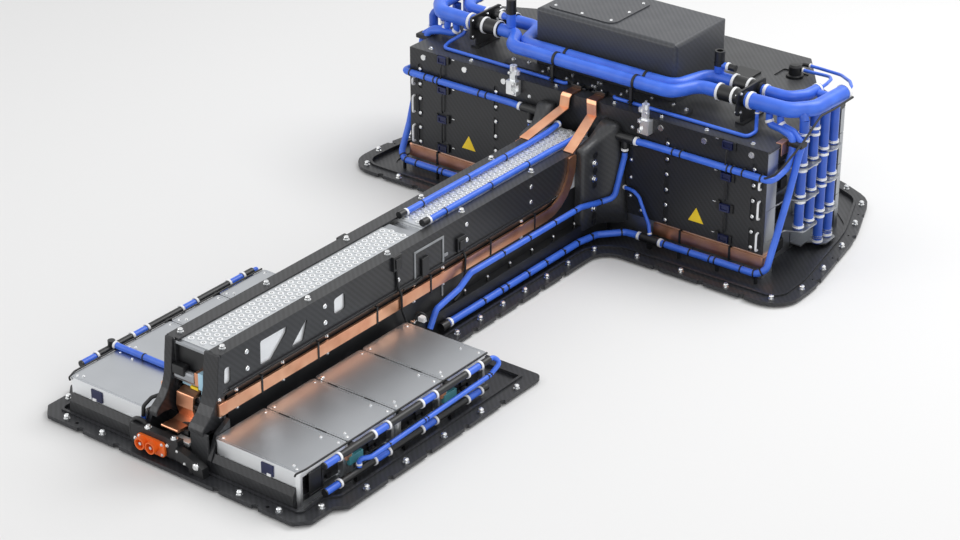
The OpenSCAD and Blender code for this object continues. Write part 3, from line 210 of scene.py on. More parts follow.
finishes = {
    # lacquered on the panels and duller on the tray; the paler copies below are painted light
    "carbon": carbonFinish("carbonTwillLacquered", 4.2, "#1d1e20", "#252629", 0.4, 0.2, 0.04),
    # paler copy of the twill, used on the top plate, the cowls and the skirt: painted light
    "carbonPaintedLight": carbonFinish("carbonTwillPaintedLight", 4.2, "#303133", "#353638", 0.42, 0.12, 0.01),
    "tray": carbonFinish("carbonTwillMatt", 4.2, "#232427", "#2b2c30", 0.42, 0.12, 0.03),
    # the cover's paler tone is painted sheen, for the light on its top
    "cover": carbonFinish("carbonTwillHoodPaintedSheen", 4.2, "#36383c", "#3c3e43", 0.38, 0.15, 0.02),
    # metals: plated ones are bright and even, brushed and extruded ones streaked, cast ones rough
    "steel": surfaceFinish("zincPlatedSteel", 1.0, "#d0d2d4", "#f0f1f1", 0.26, 2.0),
    "lid": surfaceFinish("brushedAluminiumLid", 1.0, "#b0b3b7", "#b9bcc0", 0.34, 1.2, (40, 1, 1), 0.03, 160),
    "extrusion": surfaceFinish("extrudedAluminium", 1.0, "#a0a3a7", "#abaeb2", 0.38, 1.2, (1, 1, 30), 0.04, 240),
    "cast": surfaceFinish("castAluminium", 0.75, "#dfe1e3", "#f2f3f3", 0.34, 1.6, (1, 1, 1), 0.25, 35),
    "darkMetal": surfaceFinish("anodisedAluminiumDark", 0.8, "#55585c", "#64676b", 0.4, 1.4, (1, 1, 20)),
    "copper": surfaceFinish("rolledCopper", 1.0, "#dc9a78", "#f0b894", 0.34, 1.4, (1, 20, 1), 0.04, 60),
    "cells": cellTops(),
    # silicone, nylon, rubber, vinyl and paint: a fine moulded grain and slow changes of tone
    "hoseDeep": surfaceFinish("siliconeHoseDeepBlue", 0.0, "#2a52b2", "#335fc6", 0.36, 2.2, (1, 1, 1), 0.12),
    "hose": surfaceFinish("siliconeHoseBlue", 0.0, "#3564d4", "#4072e4", 0.38, 2.2, (1, 1, 1), 0.15),
    "black": surfaceFinish("glassFilledNylonBlack", 0.0, "#111214", "#18191b", 0.42, 1.6, (1, 1, 1), 0.1),
    "rubber": surfaceFinish("rubberCableBlack", 0.0, "#0e0f11", "#151618", 0.5, 1.6, (1, 1, 1), 0.1),
    "white": surfaceFinish("nylonWhite", 0.0, "#e4e5e7", "#f2f3f4", 0.4, 1.6, (1, 1, 1), 0.08),
    "orange": surfaceFinish("nylonOrange", 0.0, "#e25d17", "#f07528", 0.38, 1.6, (1, 1, 1), 0.1),
    "paleBlue": surfaceFinish("polycarbonatePaleBlue", 0.0, "#9cc6dc", "#b9dcec", 0.3, 1.6),
    "teal": surfaceFinish("nylonTeal", 0.0, "#3f8088", "#4c94a0", 0.38, 1.6),
    "navy": surfaceFinish("nylonNavy", 0.0, "#0b1236", "#131d4c", 0.36, 1.6),
    "yellow": surfaceFinish("vinylYellow", 0.0, "#f0c917", "#f7d630", 0.4, 1.6),
    "grey": surfaceFinish("paintedSteelGrey", 0.0, "#84878a", "#96999c", 0.45, 1.6),
}


def paintLightOnSides(finish, colour):
    # painted light: the lids' upright sides, where the normal rises by less than half, get a paler flat colour in
    # place of the brushed tone
    tree = finish.node_tree
    shader = tree.nodes["Principled BSDF"]
    brushed = shader.inputs["Base Color"].links[0].from_socket
    facing = addNode(tree, "ShaderNodeNewGeometry").outputs["True Normal"]
    parts = addNode(tree, "ShaderNodeSeparateXYZ", None, {0: facing})
    upward = addNode(tree, "ShaderNodeMath", {"operation": "ABSOLUTE"}, {0: parts.outputs["Z"]})
    upright = addNode(tree, "ShaderNodeMath", {"operation": "LESS_THAN"}, {0: upward.outputs[0], 1: 0.5})
    tone = addNode(tree, "ShaderNodeMix", {"data_type": "RGBA"}, {0: upright.outputs[0], 6: brushed, 7: colour})
    feed(tree, shader, {"Base Color": tone.outputs[2]})


paintLightOnSides(finishes["lid"], "#eceef0")
print("finishes made:", len(finishes))

nodeFinishes = {
    "tray": ["base_tray"],
    "carbon": [
        "front_guard", "tunnel_panel_left", "tunnel_panel_right", "face_panel_left", "face_panel_right",
    ],
    "cover": ["electronics_cover", "cover_lid"],
    "carbonPaintedLight": ["top_plate"],
    "steel": ["tray_bolts", "tunnel_bolts", "face_studs", "cover_screws", "module_screws", "hv_contacts"],
    "lid": [f"front_module_{side}_{k}" for side in ("left", "right") for k in (1, 2, 3, 4)],
    "extrusion": [f"{row}_stack_{k}" for row in ("front", "rear") for k in (1, 2, 3, 4)],
    "cells": ["cell_block_front", "cell_block_rear"],
    "cast": ["cast_brackets"],
    "copper": ["side_busbars", "top_straps", "front_busbar", "block_busbars"],
    "hose": ["rail_hoses"],
    "hoseDeep": ["manifold_columns"],
    "black": [
        "tunnel_base", "coolant_rails", "module_links", "hv_bracket", "control_unit", "pipe_ports",
        "pipe_bulkheads", "pipe_sleeves",
    ],
    "white": ["hose_clamps", "latch_bars"],
    "orange": ["hv_connector"],
    "paleBlue": ["mouth_insulators"],
    "navy": ["sensor_connectors"],
}

for finishName, names in nodeFinishes.items():
    for name in names:
        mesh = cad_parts[name].data
        mesh.materials.clear()
        mesh.materials.append(finishes[finishName])


def startTree(name, inputs):
    tree = bpy.data.node_groups.new(name, "GeometryNodeTree")
    tree.interface.new_socket("Geometry", in_out="INPUT", socket_type="NodeSocketGeometry")
    for label, kind, value in inputs:
        socket = tree.interface.new_socket(label, in_out="INPUT", socket_type=kind)
        if value is not None:
            socket.default_value = value
    tree.interface.new_socket("Geometry", in_out="OUTPUT", socket_type="NodeSocketGeometry")
    return tree, addNode(tree, "NodeGroupInput").outputs


def endTree(tree, geometry, finish):
    real = addNode(tree, "GeometryNodeRealizeInstances", None, {0: geometry})
    painted = addNode(tree, "GeometryNodeSetMaterial", None, {0: real.outputs[0], "Material": finish})
    addNode(tree, "NodeGroupOutput", None, {0: painted.outputs[0]})


def hoseTree():
    tree, given = startTree("sweptHose", [
        ("Radius", "NodeSocketFloat", 0.01), ("Sides", "NodeSocketInt", 24), ("Finish", "NodeSocketMaterial", None),
    ])
    ring = addNode(tree, "GeometryNodeCurvePrimitiveCircle", None,
                   {"Resolution": given["Sides"], "Radius": given["Radius"]})
    tube = addNode(tree, "GeometryNodeCurveToMesh", None,
                   {"Curve": given["Geometry"], "Profile Curve": ring.outputs[0], "Fill Caps": True})
    smooth = addNode(tree, "GeometryNodeSetShadeSmooth", None, {0: tube.outputs[0]})
    endTree(tree, smooth.outputs[0], given["Finish"])
    return tree


def placeTree():
    tree, given = startTree("patternOnPoints", [
        ("Pattern", "NodeSocketObject", None), ("Finish", "NodeSocketMaterial", None),
    ])
    pattern = addNode(tree, "GeometryNodeObjectInfo", None, {"Object": given["Pattern"]})
    stored = {}
    for label, kind in (("facing", "FLOAT_VECTOR"), ("turn", "FLOAT"), ("size", "FLOAT_VECTOR")):
        read = addNode(tree, "GeometryNodeInputNamedAttribute", {"data_type": kind}, {"Name": label})
        stored[label] = [socket for socket in read.outputs if socket.enabled][0]
    aligned = addNode(tree, "FunctionNodeAlignRotationToVector", {"axis": "Z"}, {"Vector": stored["facing"]})
    spin = addNode(tree, "FunctionNodeAxisAngleToRotation", None, {"Axis": (0, 0, 1), "Angle": stored["turn"]})
    both = addNode(tree, "FunctionNodeRotateRotation", {"rotation_space": "LOCAL"},
                   {0: aligned.outputs[0], 1: spin.outputs[0]})
    copies = addNode(tree, "GeometryNodeInstanceOnPoints", None, {
        "Points": given["Geometry"], "Instance": pattern.outputs["Geometry"],
        "Rotation": both.outputs[0], "Scale": stored["size"],
    })
    endTree(tree, copies.outputs[0], given["Finish"])
    return tree


trees = {"hose": hoseTree(), "place": placeTree()}


# Meshes to be placed many times, taken out again at the end. Those for round things are drawn
# with a radius of patternRadius and scaled to each place
patterns = []
patternRadius = 10


def makeMesh(name, points, faces, finishName=None):
    mesh = bpy.data.meshes.new(name)
    mesh.from_pydata([Vector(p) * mm for p in points], [], faces)
    if finishName:
        mesh.materials.append(finishes[finishName])
    return mesh


def growPiece(name, source, tree, values, finishName):
    values["Finish"] = finishes[finishName]
    modifier = source.modifiers.new("grow", "NODES")
    modifier.node_group = tree
    for item in tree.interface.items_tree:
        if item.item_type == "SOCKET" and item.in_out == "INPUT" and item.name in values:
            modifier[item.identifier] = values[item.name]
    graph = bpy.context.evaluated_depsgraph_get()
    mesh = bpy.data.meshes.new_from_object(source.evaluated_get(graph))
    source.modifiers.clear()
    bpy.data.objects.remove(source)
    return addPiece(name, mesh)


def addPiece(name, mesh):
    mesh.name = name
    piece = bpy.data.objects.new(name, mesh)
    scene.collection.objects.link(piece)
    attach(piece, "root")
    return piece


def roundedRoute(points, bend, steps=8):
    # straight runs joined by arcs of the bend radius, or of what fits where points are close.
    # Turns under leastTurn degrees stay as they are
    leastTurn, mostReach = 4, 0.48
    points = [Vector(p) for p in points]
    route = [points[0]]
    for before, here, after in zip(points, points[1:], points[2:]):
        u, w = (before - here), (after - here)
        reachLimit = mostReach * min(u.length, w.length)
        u.normalize()
        w.normalize()
        turn = math.acos(max(-1, min(1, -u.dot(w))))
        if turn < math.radians(leastTurn):
            route.append(here)
            continue
        half = (math.pi - turn) / 2
        reach = min(bend / math.tan(half), reachLimit)
        radius = reach * math.tan(half)
        centre = here + (u + w).normalized() * radius / math.sin(half)
        first = (here + u * reach - centre).normalized()
        last = here + w * reach - centre
        other = (last - last.dot(first) * first).normalized()
        for k in range(steps + 1):
            angle = turn * k / steps
            route.append(centre + radius * (math.cos(angle) * first + math.sin(angle) * other))
    route.append(points[-1])
    return route


def mirrorRoute(route):
    return [(-p[0], p[1], p[2]) for p in route]


def allRoutes(made):
    mirrored = made.get("mirrored", True)
    return made["routes"] + ([mirrorRoute(route) for route in made["routes"]] if mirrored else [])


def sweepRoutes(name, routes, radius, bend, finishName, sides, steps=8):
    data = bpy.data.curves.new(name, "CURVE")
    data.dimensions = "3D"
    for route in routes:
        points = roundedRoute(route, bend, steps)
        spline = data.splines.new("POLY")
        spline.points.add(len(points) - 1)
        for point, place in zip(spline.points, points):
            point.co = (*(place * mm), 1)
    source = bpy.data.objects.new(name + "Route", data)
    scene.collection.objects.link(source)
    return growPiece(name, source, trees["hose"], {"Radius": radius * mm, "Sides": sides}, finishName)


def alongRoute(route, bend, distances):
    # places and directions at distances along a route, negative ones from its end
    points = roundedRoute(route, bend)
    total = sum((b - a).length for a, b in zip(points, points[1:]))
    found = []
    for distance in distances:
        left = distance if distance >= 0 else total + distance
        for a, b in zip(points, points[1:]):
            step = (b - a).length
            if left <= step and step > 0:
                found.append((a + (b - a) * left / step, (b - a).normalized()))
                break
            left -= step
    return found


def placePattern(name, pattern, places, finishName):
    # places: (point, facing, turn in degrees, size)
    mesh = makeMesh(name + "Points", [p[0] for p in places], [])
    for label, kind in (("facing", "FLOAT_VECTOR"), ("turn", "FLOAT"), ("size", "FLOAT_VECTOR")):
        mesh.attributes.new(label, kind, "POINT")
    for k, (_, axis, angle, scale) in enumerate(places):
        mesh.attributes["facing"].data[k].vector = axis
        mesh.attributes["turn"].data[k].value = math.radians(angle)
        mesh.attributes["size"].data[k].vector = (scale,) * 3
    source = bpy.data.objects.new(name + "Points", mesh)
    scene.collection.objects.link(source)
    growPiece(name, source, trees["place"], {"Pattern": pattern}, finishName)


def patternMesh(name, points, faces):
    mesh = makeMesh(name, points, faces)
    mesh.validate()
    pattern = bpy.data.objects.new(name, mesh)
    scene.collection.objects.link(pattern)
    patterns.append(pattern)
    return pattern


def turnedPattern(name, outline, sides):
    # a revolved outline of (radius, height) points, closed on the axis
    points, faces = [], []
    for r, z in outline:
        points += [(r * math.cos(2 * math.pi * k / sides), r * math.sin(2 * math.pi * k / sides), z)
                   for k in range(sides)]
    for j in range(len(outline) - 1):
        for k in range(sides):
            a, b = j * sides + k, j * sides + (k + 1) % sides
            faces.append((a, b, b + sides, a + sides))
    faces.append(tuple(reversed(range(sides))))
    faces.append(tuple((len(outline) - 1) * sides + k for k in range(sides)))
    return patternMesh(name, points, faces)


def ringPattern(name, settings):
    # a band round the Z axis, with an optional lock block on its outside
    inner, outer, width, sides, head = [settings.get(key) for key in ("inner", "outer", "width", "sides", "head")]
    points, faces = [], []
    section = [(inner, -width / 2), (outer, -width / 2), (outer, width / 2), (inner, width / 2)]
    for k in range(sides):
        angle = 2 * math.pi * k / sides
        points += [(r * math.cos(angle), r * math.sin(angle), z) for r, z in section]
    for k in range(sides):
        n = (k + 1) % sides
        for j in range(4):
            faces.append((4 * k + j, 4 * n + j, 4 * n + (j + 1) % 4, 4 * k + (j + 1) % 4))
    if head:
        faces += boxFaces(len(points))
        points += boxPoints((inner, -head[1] / 2, -head[2] / 2), (inner + head[0], head[1] / 2, head[2] / 2))
    return patternMesh(name, points, faces)


def boxPoints(low, high):
    return [(x, y, z) for z in (low[2], high[2]) for y in (low[1], high[1]) for x in (low[0], high[0])]


def boxFaces(first):
    sides = [(0, 2, 3, 1), (4, 5, 7, 6), (0, 1, 5, 4), (2, 6, 7, 3), (0, 4, 6, 2), (1, 3, 7, 5)]
    return [tuple(first + k for k in side) for side in sides]


def boxesPiece(name, boxes, finishName, bevel):
    # plates and blocks given as (low corner, high corner)
    points, faces = [], []
    for low, high in boxes:
        faces += boxFaces(len(points))
        points += boxPoints(low, high)
    piece = addPiece(name, makeMesh(name, points, faces, finishName))
    if bevel:
        softenEdges(piece, bevel)


def softenEdges(piece, width):
    modifier = piece.modifiers.new("soft", "BEVEL")
    modifier.width = width * mm
    modifier.segments = 2
    graph = bpy.context.evaluated_depsgraph_get()
    mesh = bpy.data.meshes.new_from_object(piece.evaluated_get(graph))
    piece.modifiers.clear()
    piece.data = mesh


def mirrorBoxes(boxes):
    return boxes + [((-b[1][0], b[0][1], b[0][2]), (-b[0][0], b[1][1], b[1][2])) for b in boxes]


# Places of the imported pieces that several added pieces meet. An added piece is given on the right
# side and is mirrored to the left as well, unless its mirrored is False
pack = {
    "blockY": 497, "blockHalfW": 589, "faceT": 3, "coverY": 600, "pipeZ": 443, "columnX": 612, "railX": 381,
    "moduleY0": -1088, "modulePitch": 174, "frontCells": 31, "rearCells": 30, "cellY0": -1020, "cellPitch": 23,
    "play": 0.3,
}
blockY, pipeZ, play, railX = pack["blockY"], pack["pipeZ"], pack["play"], pack["railX"]
railBreaks = [pack["moduleY0"] + pack["modulePitch"] * (k + 0.5) for k in range(4)]
railEnd = railBreaks[3] + 52
frontPortY, rearPortY = blockY + 116, blockY + 193
leftPortX, rightPortX = -322, 311
frontPipeY, rearPipeY = pack["coverY"] - 66, pack["coverY"] - 27
pipeEndX, wideX0, widePipeR = 358, 448, 21
underPipe = pipeZ - widePipeR - play
cornerX = pack["blockHalfW"] + 15
faceHoseY, faceHoseZ = blockY - 12.9, 300
couplingX, couplingY = 156, blockY - 15.5
footHoseY, footHoseZ = blockY - 32, 34
spineHoseX, branchX = 113.9, 111.4
tunnelHoseZ, rearCellY0 = 292.1, pack["cellY0"] + pack["frontCells"] * pack["cellPitch"] + 72


def fullPipe(y, front, back):
    # a main pipe from the right bulkhead, round in front of the cover, to the left bulkhead
    half = [(pipeEndX, y, pipeZ), (front, y, pipeZ), (*back, pipeZ)]
    return mirrorRoute(half) + half[::-1]


# Coolant pipes and hoses: their routes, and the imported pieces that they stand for
hoses = {
    "mainPipes": {
        "radius": 18, "bend": 40, "sides": 36, "stands": "main_pipes", "mirrored": False,
        "routes": [fullPipe(frontPortY, 302, (262, frontPipeY)), fullPipe(rearPortY, 280, (248, rearPipeY))],
    },
    "widePipeFront": {
        "radius": widePipeR, "bend": 50, "sides": 40, "stands": "wide_pipes",
        "routes": [[
            (wideX0 + play, frontPortY, pipeZ), (wideX0 + 20, frontPortY, pipeZ), (572, frontPortY + 4, pipeZ),
            (618, frontPortY + 58, pipeZ), (626, blockY + 318, pipeZ),
        ]],
    },
    "widePipeRear": {
        "radius": 16, "bend": 40, "sides": 32, "stands": None,
        "routes": [[
            (wideX0 + play, rearPortY, pipeZ), (526, rearPortY, pipeZ), (556, rearPortY + 40, pipeZ),
            (562, blockY + 290, pipeZ),
        ]],
    },
    "crossLink": {
        "radius": 11, "bend": 10, "sides": 24, "stands": None,
        "routes": [[(577, blockY + 263, pipeZ), (604, blockY + 263, pipeZ)]],
    },
    "tunnelHoses": {
        "radius": 8, "bend": 60, "sides": 24, "stands": "tunnel_hoses",
        "routes": [[
            (37, rearCellY0 + 18, tunnelHoseZ), (37, 320, tunnelHoseZ), (40, 400, tunnelHoseZ),
            (44, blockY - 40, tunnelHoseZ + 6),
        ]],
    },
    "returnHoses": {
        "radius": 6, "bend": 14, "sides": 20, "stands": "return_hoses",
        "routes": [[
            (railX, railEnd + play, 102), (railX, railEnd + 30, 101), (397, railEnd + 34, 88),
            (397, railEnd - 6, 72), (397, railBreaks[0] + 120, 62), (railX, railBreaks[0] + 96, 62),
            (railX, railBreaks[0] + 96, 41.3),
        ]],
    },
    "crossoverHose": {
        "radius": 8, "bend": 14, "sides": 24, "stands": "crossover_hoses", "mirrored": False,
        "routes": [[
            (-371.2, railBreaks[0] + 78, 113.3), (-95, railBreaks[0] + 78, 113.3), (-93, railBreaks[0] + 78, 72.3),
        ]],
    },
    "faceHoses": {
        "radius": 9.5, "bend": 22, "sides": 24, "stands": "block_hoses",
        "routes": [
            [
                (516, frontPortY + 2, underPipe), (516, frontPortY + 2, 391), (560, frontPortY - 12, 393),
                (cornerX, frontPortY - 22, 385), (cornerX, frontPortY - 24, 345), (cornerX, frontPortY - 44, 306),
                (cornerX, blockY + 20, faceHoseZ - 2), (cornerX, faceHoseY, faceHoseZ),
                (560, faceHoseY, faceHoseZ), (218, faceHoseY, faceHoseZ), (202, couplingY, faceHoseZ),
                (186.3, couplingY, faceHoseZ),
            ],
            [
                (548, frontPortY + 4, underPipe - 0.5), (550, frontPortY + 2, 397), (592, frontPortY - 2, 391),
                (cornerX + 22, frontPortY - 12, 367), (cornerX + 20, frontPortY - 22, 338),
                (cornerX + 14, blockY + 66, 240), (cornerX + 9, blockY + 20, 124),
                (cornerX + 8, footHoseY + 14, 48), (590, footHoseY, footHoseZ), (284.3, footHoseY, footHoseZ),
            ],
            [
                (227.7, footHoseY, footHoseZ), (206, footHoseY, footHoseZ), (178, footHoseY - 4, footHoseZ),
                (126, 401, footHoseZ), (spineHoseX, 335, footHoseZ), (spineHoseX, -237, footHoseZ),
            ],
        ],
    },
    "branchHoses": {
        "radius": 8, "bend": 26, "sides": 20, "stands": None,
        "routes": [[
            (couplingX, couplingY, 270), (couplingX, couplingY, 246), (151, blockY - 30, 190), (146, 452, 132),
            (121, 424, 122), (121, 330, 142), (branchX + 2, -140, 138), (branchX + 2, -189, 112),
            (branchX, -279, 92), (branchX, -305, 48),
        ]],
    },
    "edgeHoses": {
        "radius": 5, "bend": 16, "sides": 16, "stands": None,
        "routes": [[
            (78, blockY + 44, 378.3), (84, blockY + 38, 378.3), (500, blockY + 38, 378.3),
            (506, blockY + 70, 383), (482, frontPortY - 4, 403), (480, frontPortY, underPipe),
        ]],
    },
}

hoseRoutes = {}
for name, made in hoses.items():
    hoseRoutes[name] = allRoutes(made)
    piece = sweepRoutes(name, hoseRoutes[name], made["radius"], made["bend"], "hose", made["sides"])
    if made["stands"]:
        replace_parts(piece, made["stands"])
print("hoses swept:", len(hoses))


# Cowls where the tunnel meets the block: sections along Y, each a rounded hood
cowlSettings = {
    "inner": 82, "base": 54.3, "round": 16, "roundSteps": 7, "sideSteps": 4, "crown": 2,
    # (y, outer side at the top, extra reach at the foot, height)
    "sections": [
        (357, 100, 0, 287), (360, 105, 0, 289), (366, 109, 0, 291), (392, 110, 0, 296), (420, 111, 1, 303),
        (436, 115, 6, 311), (450, 121, 14, 320), (462, 127, 22, 327), (472, 132, 28, 331), (480, 134, 30, 333),
        (493.6, 135, 30, 333),
    ],
}


def growCowls(settings):
    inner, base, bend = settings["inner"], settings["base"], settings["round"]
    sideSteps, roundSteps = settings["sideSteps"], settings["roundSteps"]
    points, faces = [], []
    for side in (1, -1):
        first = len(points)
        for y, outer, extra, top in settings["sections"]:
            row = [(inner, base)]
            for k in range(sideSteps + 1):
                row.append((outer + extra * (1 - k / sideSteps), base + (top - bend - base) * k / sideSteps))
            for k in range(1, roundSteps + 1):
                angle = math.pi / 2 * k / roundSteps
                row.append((outer - bend + bend * math.cos(angle), top - bend + bend * math.sin(angle)))
            row.append((inner, top + settings["crown"]))
            points += [(side * x, y, z) for x, z in row]
        count, rows = len(row), len(settings["sections"])
        front = tuple(first + k for k in range(count))
        new = [front, tuple((rows - 1) * count + k for k in front)[::-1]]
        for j in range(rows - 1):
            for k in range(count):
                a, b = first + j * count + k, first + j * count + (k + 1) % count
                new.append((a, a + count, b + count, b))
        faces += [face[::-1] for face in new] if side < 0 else new
    mesh = makeMesh("cowlHoods", points, faces, "carbonPaintedLight")
    mesh.polygons.foreach_set("use_smooth", [len(face.vertices) == 4 for face in mesh.polygons])
    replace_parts(addPiece("cowlHoods", mesh), "cowls")


growCowls(cowlSettings)
print("cowls grown")


def placesOnHose(name, index, distances, turn=0):
    # places for rings along one route of a hose, and along its mirror image if it has one
    made = hoses[name]
    return [
        (point, axis, turn, made["radius"] / patternRadius)
        for route in hoseRoutes[name][index::len(made["routes"])]
        for point, axis in alongRoute(route, made["bend"], distances)
    ]


# Cable ties: distances along each route of each hose, negative ones from its end
tieSettings = {
    "inner": 10, "outer": 11.4, "width": 4.2, "sides": 20, "head": (3.6, 5, 6), "turn": 40,
    "places": {
        "mainPipes": {0: (286, 546), 1: (327, 587)},
        "faceHoses": {
            0: (-122, -147, -292, -306, -338, -393), 1: (460, 480, 520, 600, 616, 680, 760),
            2: (60, 150, 205, 270, 350, 430, 520, 545, 620),
        },
        "branchHoses": {0: (180, 300, 390, 500, 610)},
        "returnHoses": {0: (85, 96, 330, 341, 470)},
        "crossoverHose": {0: (100, 190)},
        "tunnelHoses": {0: (70, 260, 420)},
    },
}


def tieHoses(settings):
    places = []
    for name, rows in settings["places"].items():
        for index, distances in rows.items():
            places += placesOnHose(name, index, distances, settings["turn"])
    placePattern("hoseTies", ringPattern("tiePattern", settings), places, "rubber")


tieHoses(tieSettings)
print("hoses tied")


# Small screws: one washer head screw, turned from an outline of (radius, height)
screwSettings = {
    "outline": [(4.5, -4), (4.5, 0), (10, 0), (10, 2.2), (6.4, 3), (6.4, 7.2), (5, 8.6)],
    "sides": 14,
    "rows": [
        # edge of the top plate, and the ledge in front of the cover
        {"r": 7, "at": [((x, 516, 373), (0, 0, 1)) for x in (96, 247, 388, 530)]},
        {"r": 5.5, "at": [((x, y, 383), (0, 0, 1)) for x in (5, 90, 170) for y in (556, 584)]},
        {"r": 5.5, "at": [((238, 584, 383), (0, 0, 1))]},
        {"r": 7, "at": [((285, 575, 383), (0, 0, 1))]},
        # on the face beside the cowls
        {"r": 5.5, "at": [((170, 494, z), (0, -1, 0)) for z in (129, 184, 236, 330)]},
        {"r": 5, "at": [((x, 494, 95), (0, -1, 0)) for x in (118, 205)]},
        # above and below the tunnel bars, and on the ledges of the tunnel's base
        {"r": 5.5, "at": [
            ((79.7, y, z), (1, 0, 0)) for y in (-980, -820, -661, -330, -213, 118) for z in (127, 173)
        ]},
        {"r": 5, "at": [((97, y, 72), (0, 0, 1)) for y in (-913, -740, -562, -387)]},
        {"r": 4.6, "at": [((97, -240 + 96 * k, 84.2), (0, 0, 1)) for k in range(7)]},
        # blocks of the top straps, and the cast brackets
        {"r": 4, "at": [((39, 537, 387), (0, 0, 1))]},
        {"r": 4.4, "at": [((208, 470, z), (0, -1, 0)) for z in (336, 364)]},
        {"r": 4.4, "at": [((226, 475, 392), (0, -1, 0))]},
        # lids of the front modules
        {"r": 4, "at": [((330, y, 105), (0, 0, 1)) for y in (-1068, -893, -715, -541)]},
        {"r": 4, "at": [((297, y, 105), (0, 0, 1)) for y in (-938, -761, -583, -420)]},
        # foot of the cover's sides, and both sides of the bulkheads
        {"r": 5, "at": [((229, y, 388), (1, 0, 0)) for y in (640, 730, 820)]},
        {"r": 5, "at": [((440, 594, z), (1, 0, 0)) for z in (410, 462)]},
        {"r": 4.5, "at": [((434, y, z), (-1, 0, 0)) for y in (583, 651, 712) for z in (412, 460)]},
        # bracket of the high voltage connector
        {"r": 9, "mirrored": False, "at": [((x, -1116, 79.8), (0, 0, 1)) for x in (-74, 8)]},
        {"r": 5, "mirrored": False, "at": [((-8, -1124, 60), (0, -1, 0)), ((-110, -1124, 44), (0, -1, 0))]},
        {"r": 4, "mirrored": False, "at": [((x, -1130.2, z), (0, -1, 0)) for x in (-91, -20) for z in (33, 60)]},
        {"r": 3.6, "mirrored": False, "at": [((52, -1132, 37), (0, -1, 0)), ((30, -1132, 62), (0, -1, 0))]},
        # front ends of the tunnel bars, on the cheeks of the mouth
        {"r": 5, "at": [((83.8, -1041, z), (1, 0, 0)) for z in (129.5, 175)]},
        # outer sides of the cowls
        {"r": 10, "at": [((111, 402, z), (1, 0, 0)) for z in (243, 197, 110)]},
    ],
}
# Holes drawn as shallow black cups, their black painted shade of the holes' depth: one in the front guard, and a row
# down each cowl
holeSettings = {
    "outline": [(7, -3), (7, 0.6), (10, 0.6), (10, 1.4), (6, 1.4), (6, 0.4)],
    "sides": 14,
    "rows": [
        {"r": 6, "mirrored": False, "at": [((70, -1132.1, 24), (0, -1, 0))]},
        {"r": 9.4, "at": [
            ((111.2, y, z), (1, 0, 0)) for y, z in ((409, 263), (409, 217), (408, 175), (408, 85), (408, 66))
        ]},
    ],
}


def placeRows(name, settings, finishName):
    pattern = turnedPattern(name + "Pattern", settings["outline"], settings["sides"])
    places = []
    for row in settings["rows"]:
        at = row["at"]
        if row.get("mirrored", True):
            at = at + [((-x, y, z), (-a, b, c)) for (x, y, z), (a, b, c) in at]
        places += [(point, axis, 0, row["r"] / patternRadius) for point, axis in at]
    placePattern(name, pattern, places, finishName)


placeRows("smallScrews", screwSettings, "steel")
placeRows("blindHoles", holeSettings, "rubber")
print("screws placed")


# White nuts at the ends of the hoses, and free ones given as (point, facing, hose radius)
nutSettings = {
    "inner": 10.05, "outer": 12.6, "width": 8, "sides": 24,
    "at": [
        ("faceHoses", 0, [-6]), ("faceHoses", 1, [-6, 24]), ("faceHoses", 2, [6]), ("faceHoses", 0, [22]),
        ("branchHoses", 0, [3]), ("edgeHoses", 0, [-8]), ("crossoverHose", 0, [5]), ("tunnelHoses", 0, [5, -8]),
        ("returnHoses", 0, [5, -8]), ("faceHoses", 2, [-8]),
    ],
    "free": [
        ((couplingX, 486, 153), (1, -0.1, 0), 5), ((252.5, 468, 49), (0.3, -0.25, -0.9), 5),
        ((339, rearPortY, 482), (1, 0, 0), 9), ((-353, frontPortY, 486), (1, 0, 0), 9),
        ((404, 978, 392), (1, 0, 0), 5.4), ((404, 1016, 392), (1, 0, 0), 5.4),
    ],
}
# Thin white bands where the wide pipes end
bandSettings = {
    "inner": 10.05, "outer": 11.1, "width": 4.5, "sides": 28, "free": [],
    "at": [("widePipeFront", 0, [-8]), ("widePipeRear", 0, [-8])],
}


def placeRings(name, settings):
    places = []
    for hose, index, distances in settings["at"]:
        places += placesOnHose(hose, index, distances)
    places += [(point, axis, 0, radius / patternRadius) for point, axis, radius in settings["free"]]
    placePattern(name, ringPattern(name + "Pattern", settings), places, "white")


placeRings("hoseNuts", nutSettings)

# White clamps at the top of the two front columns, and bright edges on every column clamp
columnSettings = {
    "clamp": {"inner": 10.02, "outer": 11.95, "width": 5.4, "sides": 24},
    "edge": {"inner": 10.05, "outer": 12.4, "width": 1.2, "sides": 24},
    "r": 13, "edgeShift": 2.7,
    "added": [(y, z) for y in (632, 686) for z in (366, 384)],
    "packed": [(y, z) for y in (632, 686) for z in (117, 190, 208, 281, 299)]
    + [(y, z) for y in (740, 790) for z in (45, 107, 125, 198, 216, 289, 307)],
}


def placeColumnClamps(settings):
    def ringsAt(places):
        size = settings["r"] / patternRadius
        return [((side * pack["columnX"], y, z), (0, 0, 1), 0, size) for y, z in places for side in (1, -1)]

    shift = settings["edgeShift"]
    edges = [(y, z + dz) for y, z in settings["added"] + settings["packed"] for dz in (-shift, shift)]
    clamp = ringPattern("columnClampPattern", settings["clamp"])
    edge = ringPattern("columnEdgePattern", settings["edge"])
    placePattern("columnClamps", clamp, ringsAt(settings["added"]), "white")
    placePattern("columnClampEdges", edge, ringsAt(edges), "steel")


placeColumnClamps(columnSettings)
placeRings("pipeBands", bandSettings)

# Rings round the caps of the cells: four staggered rows, as (x, stagger), in each of two blocks
cellRingSettings = {
    "inner": 2.2, "outer": 3.4, "width": 0.3, "sides": 14, "top": 283.85,
    "rows": [(-28.5, 0.3), (-9.5, 0.8), (9.5, 0.3), (28.5, 0.8)], "firstCell": 8,
    "blocks": [(pack["cellY0"], pack["frontCells"]), (rearCellY0, pack["rearCells"])],
}


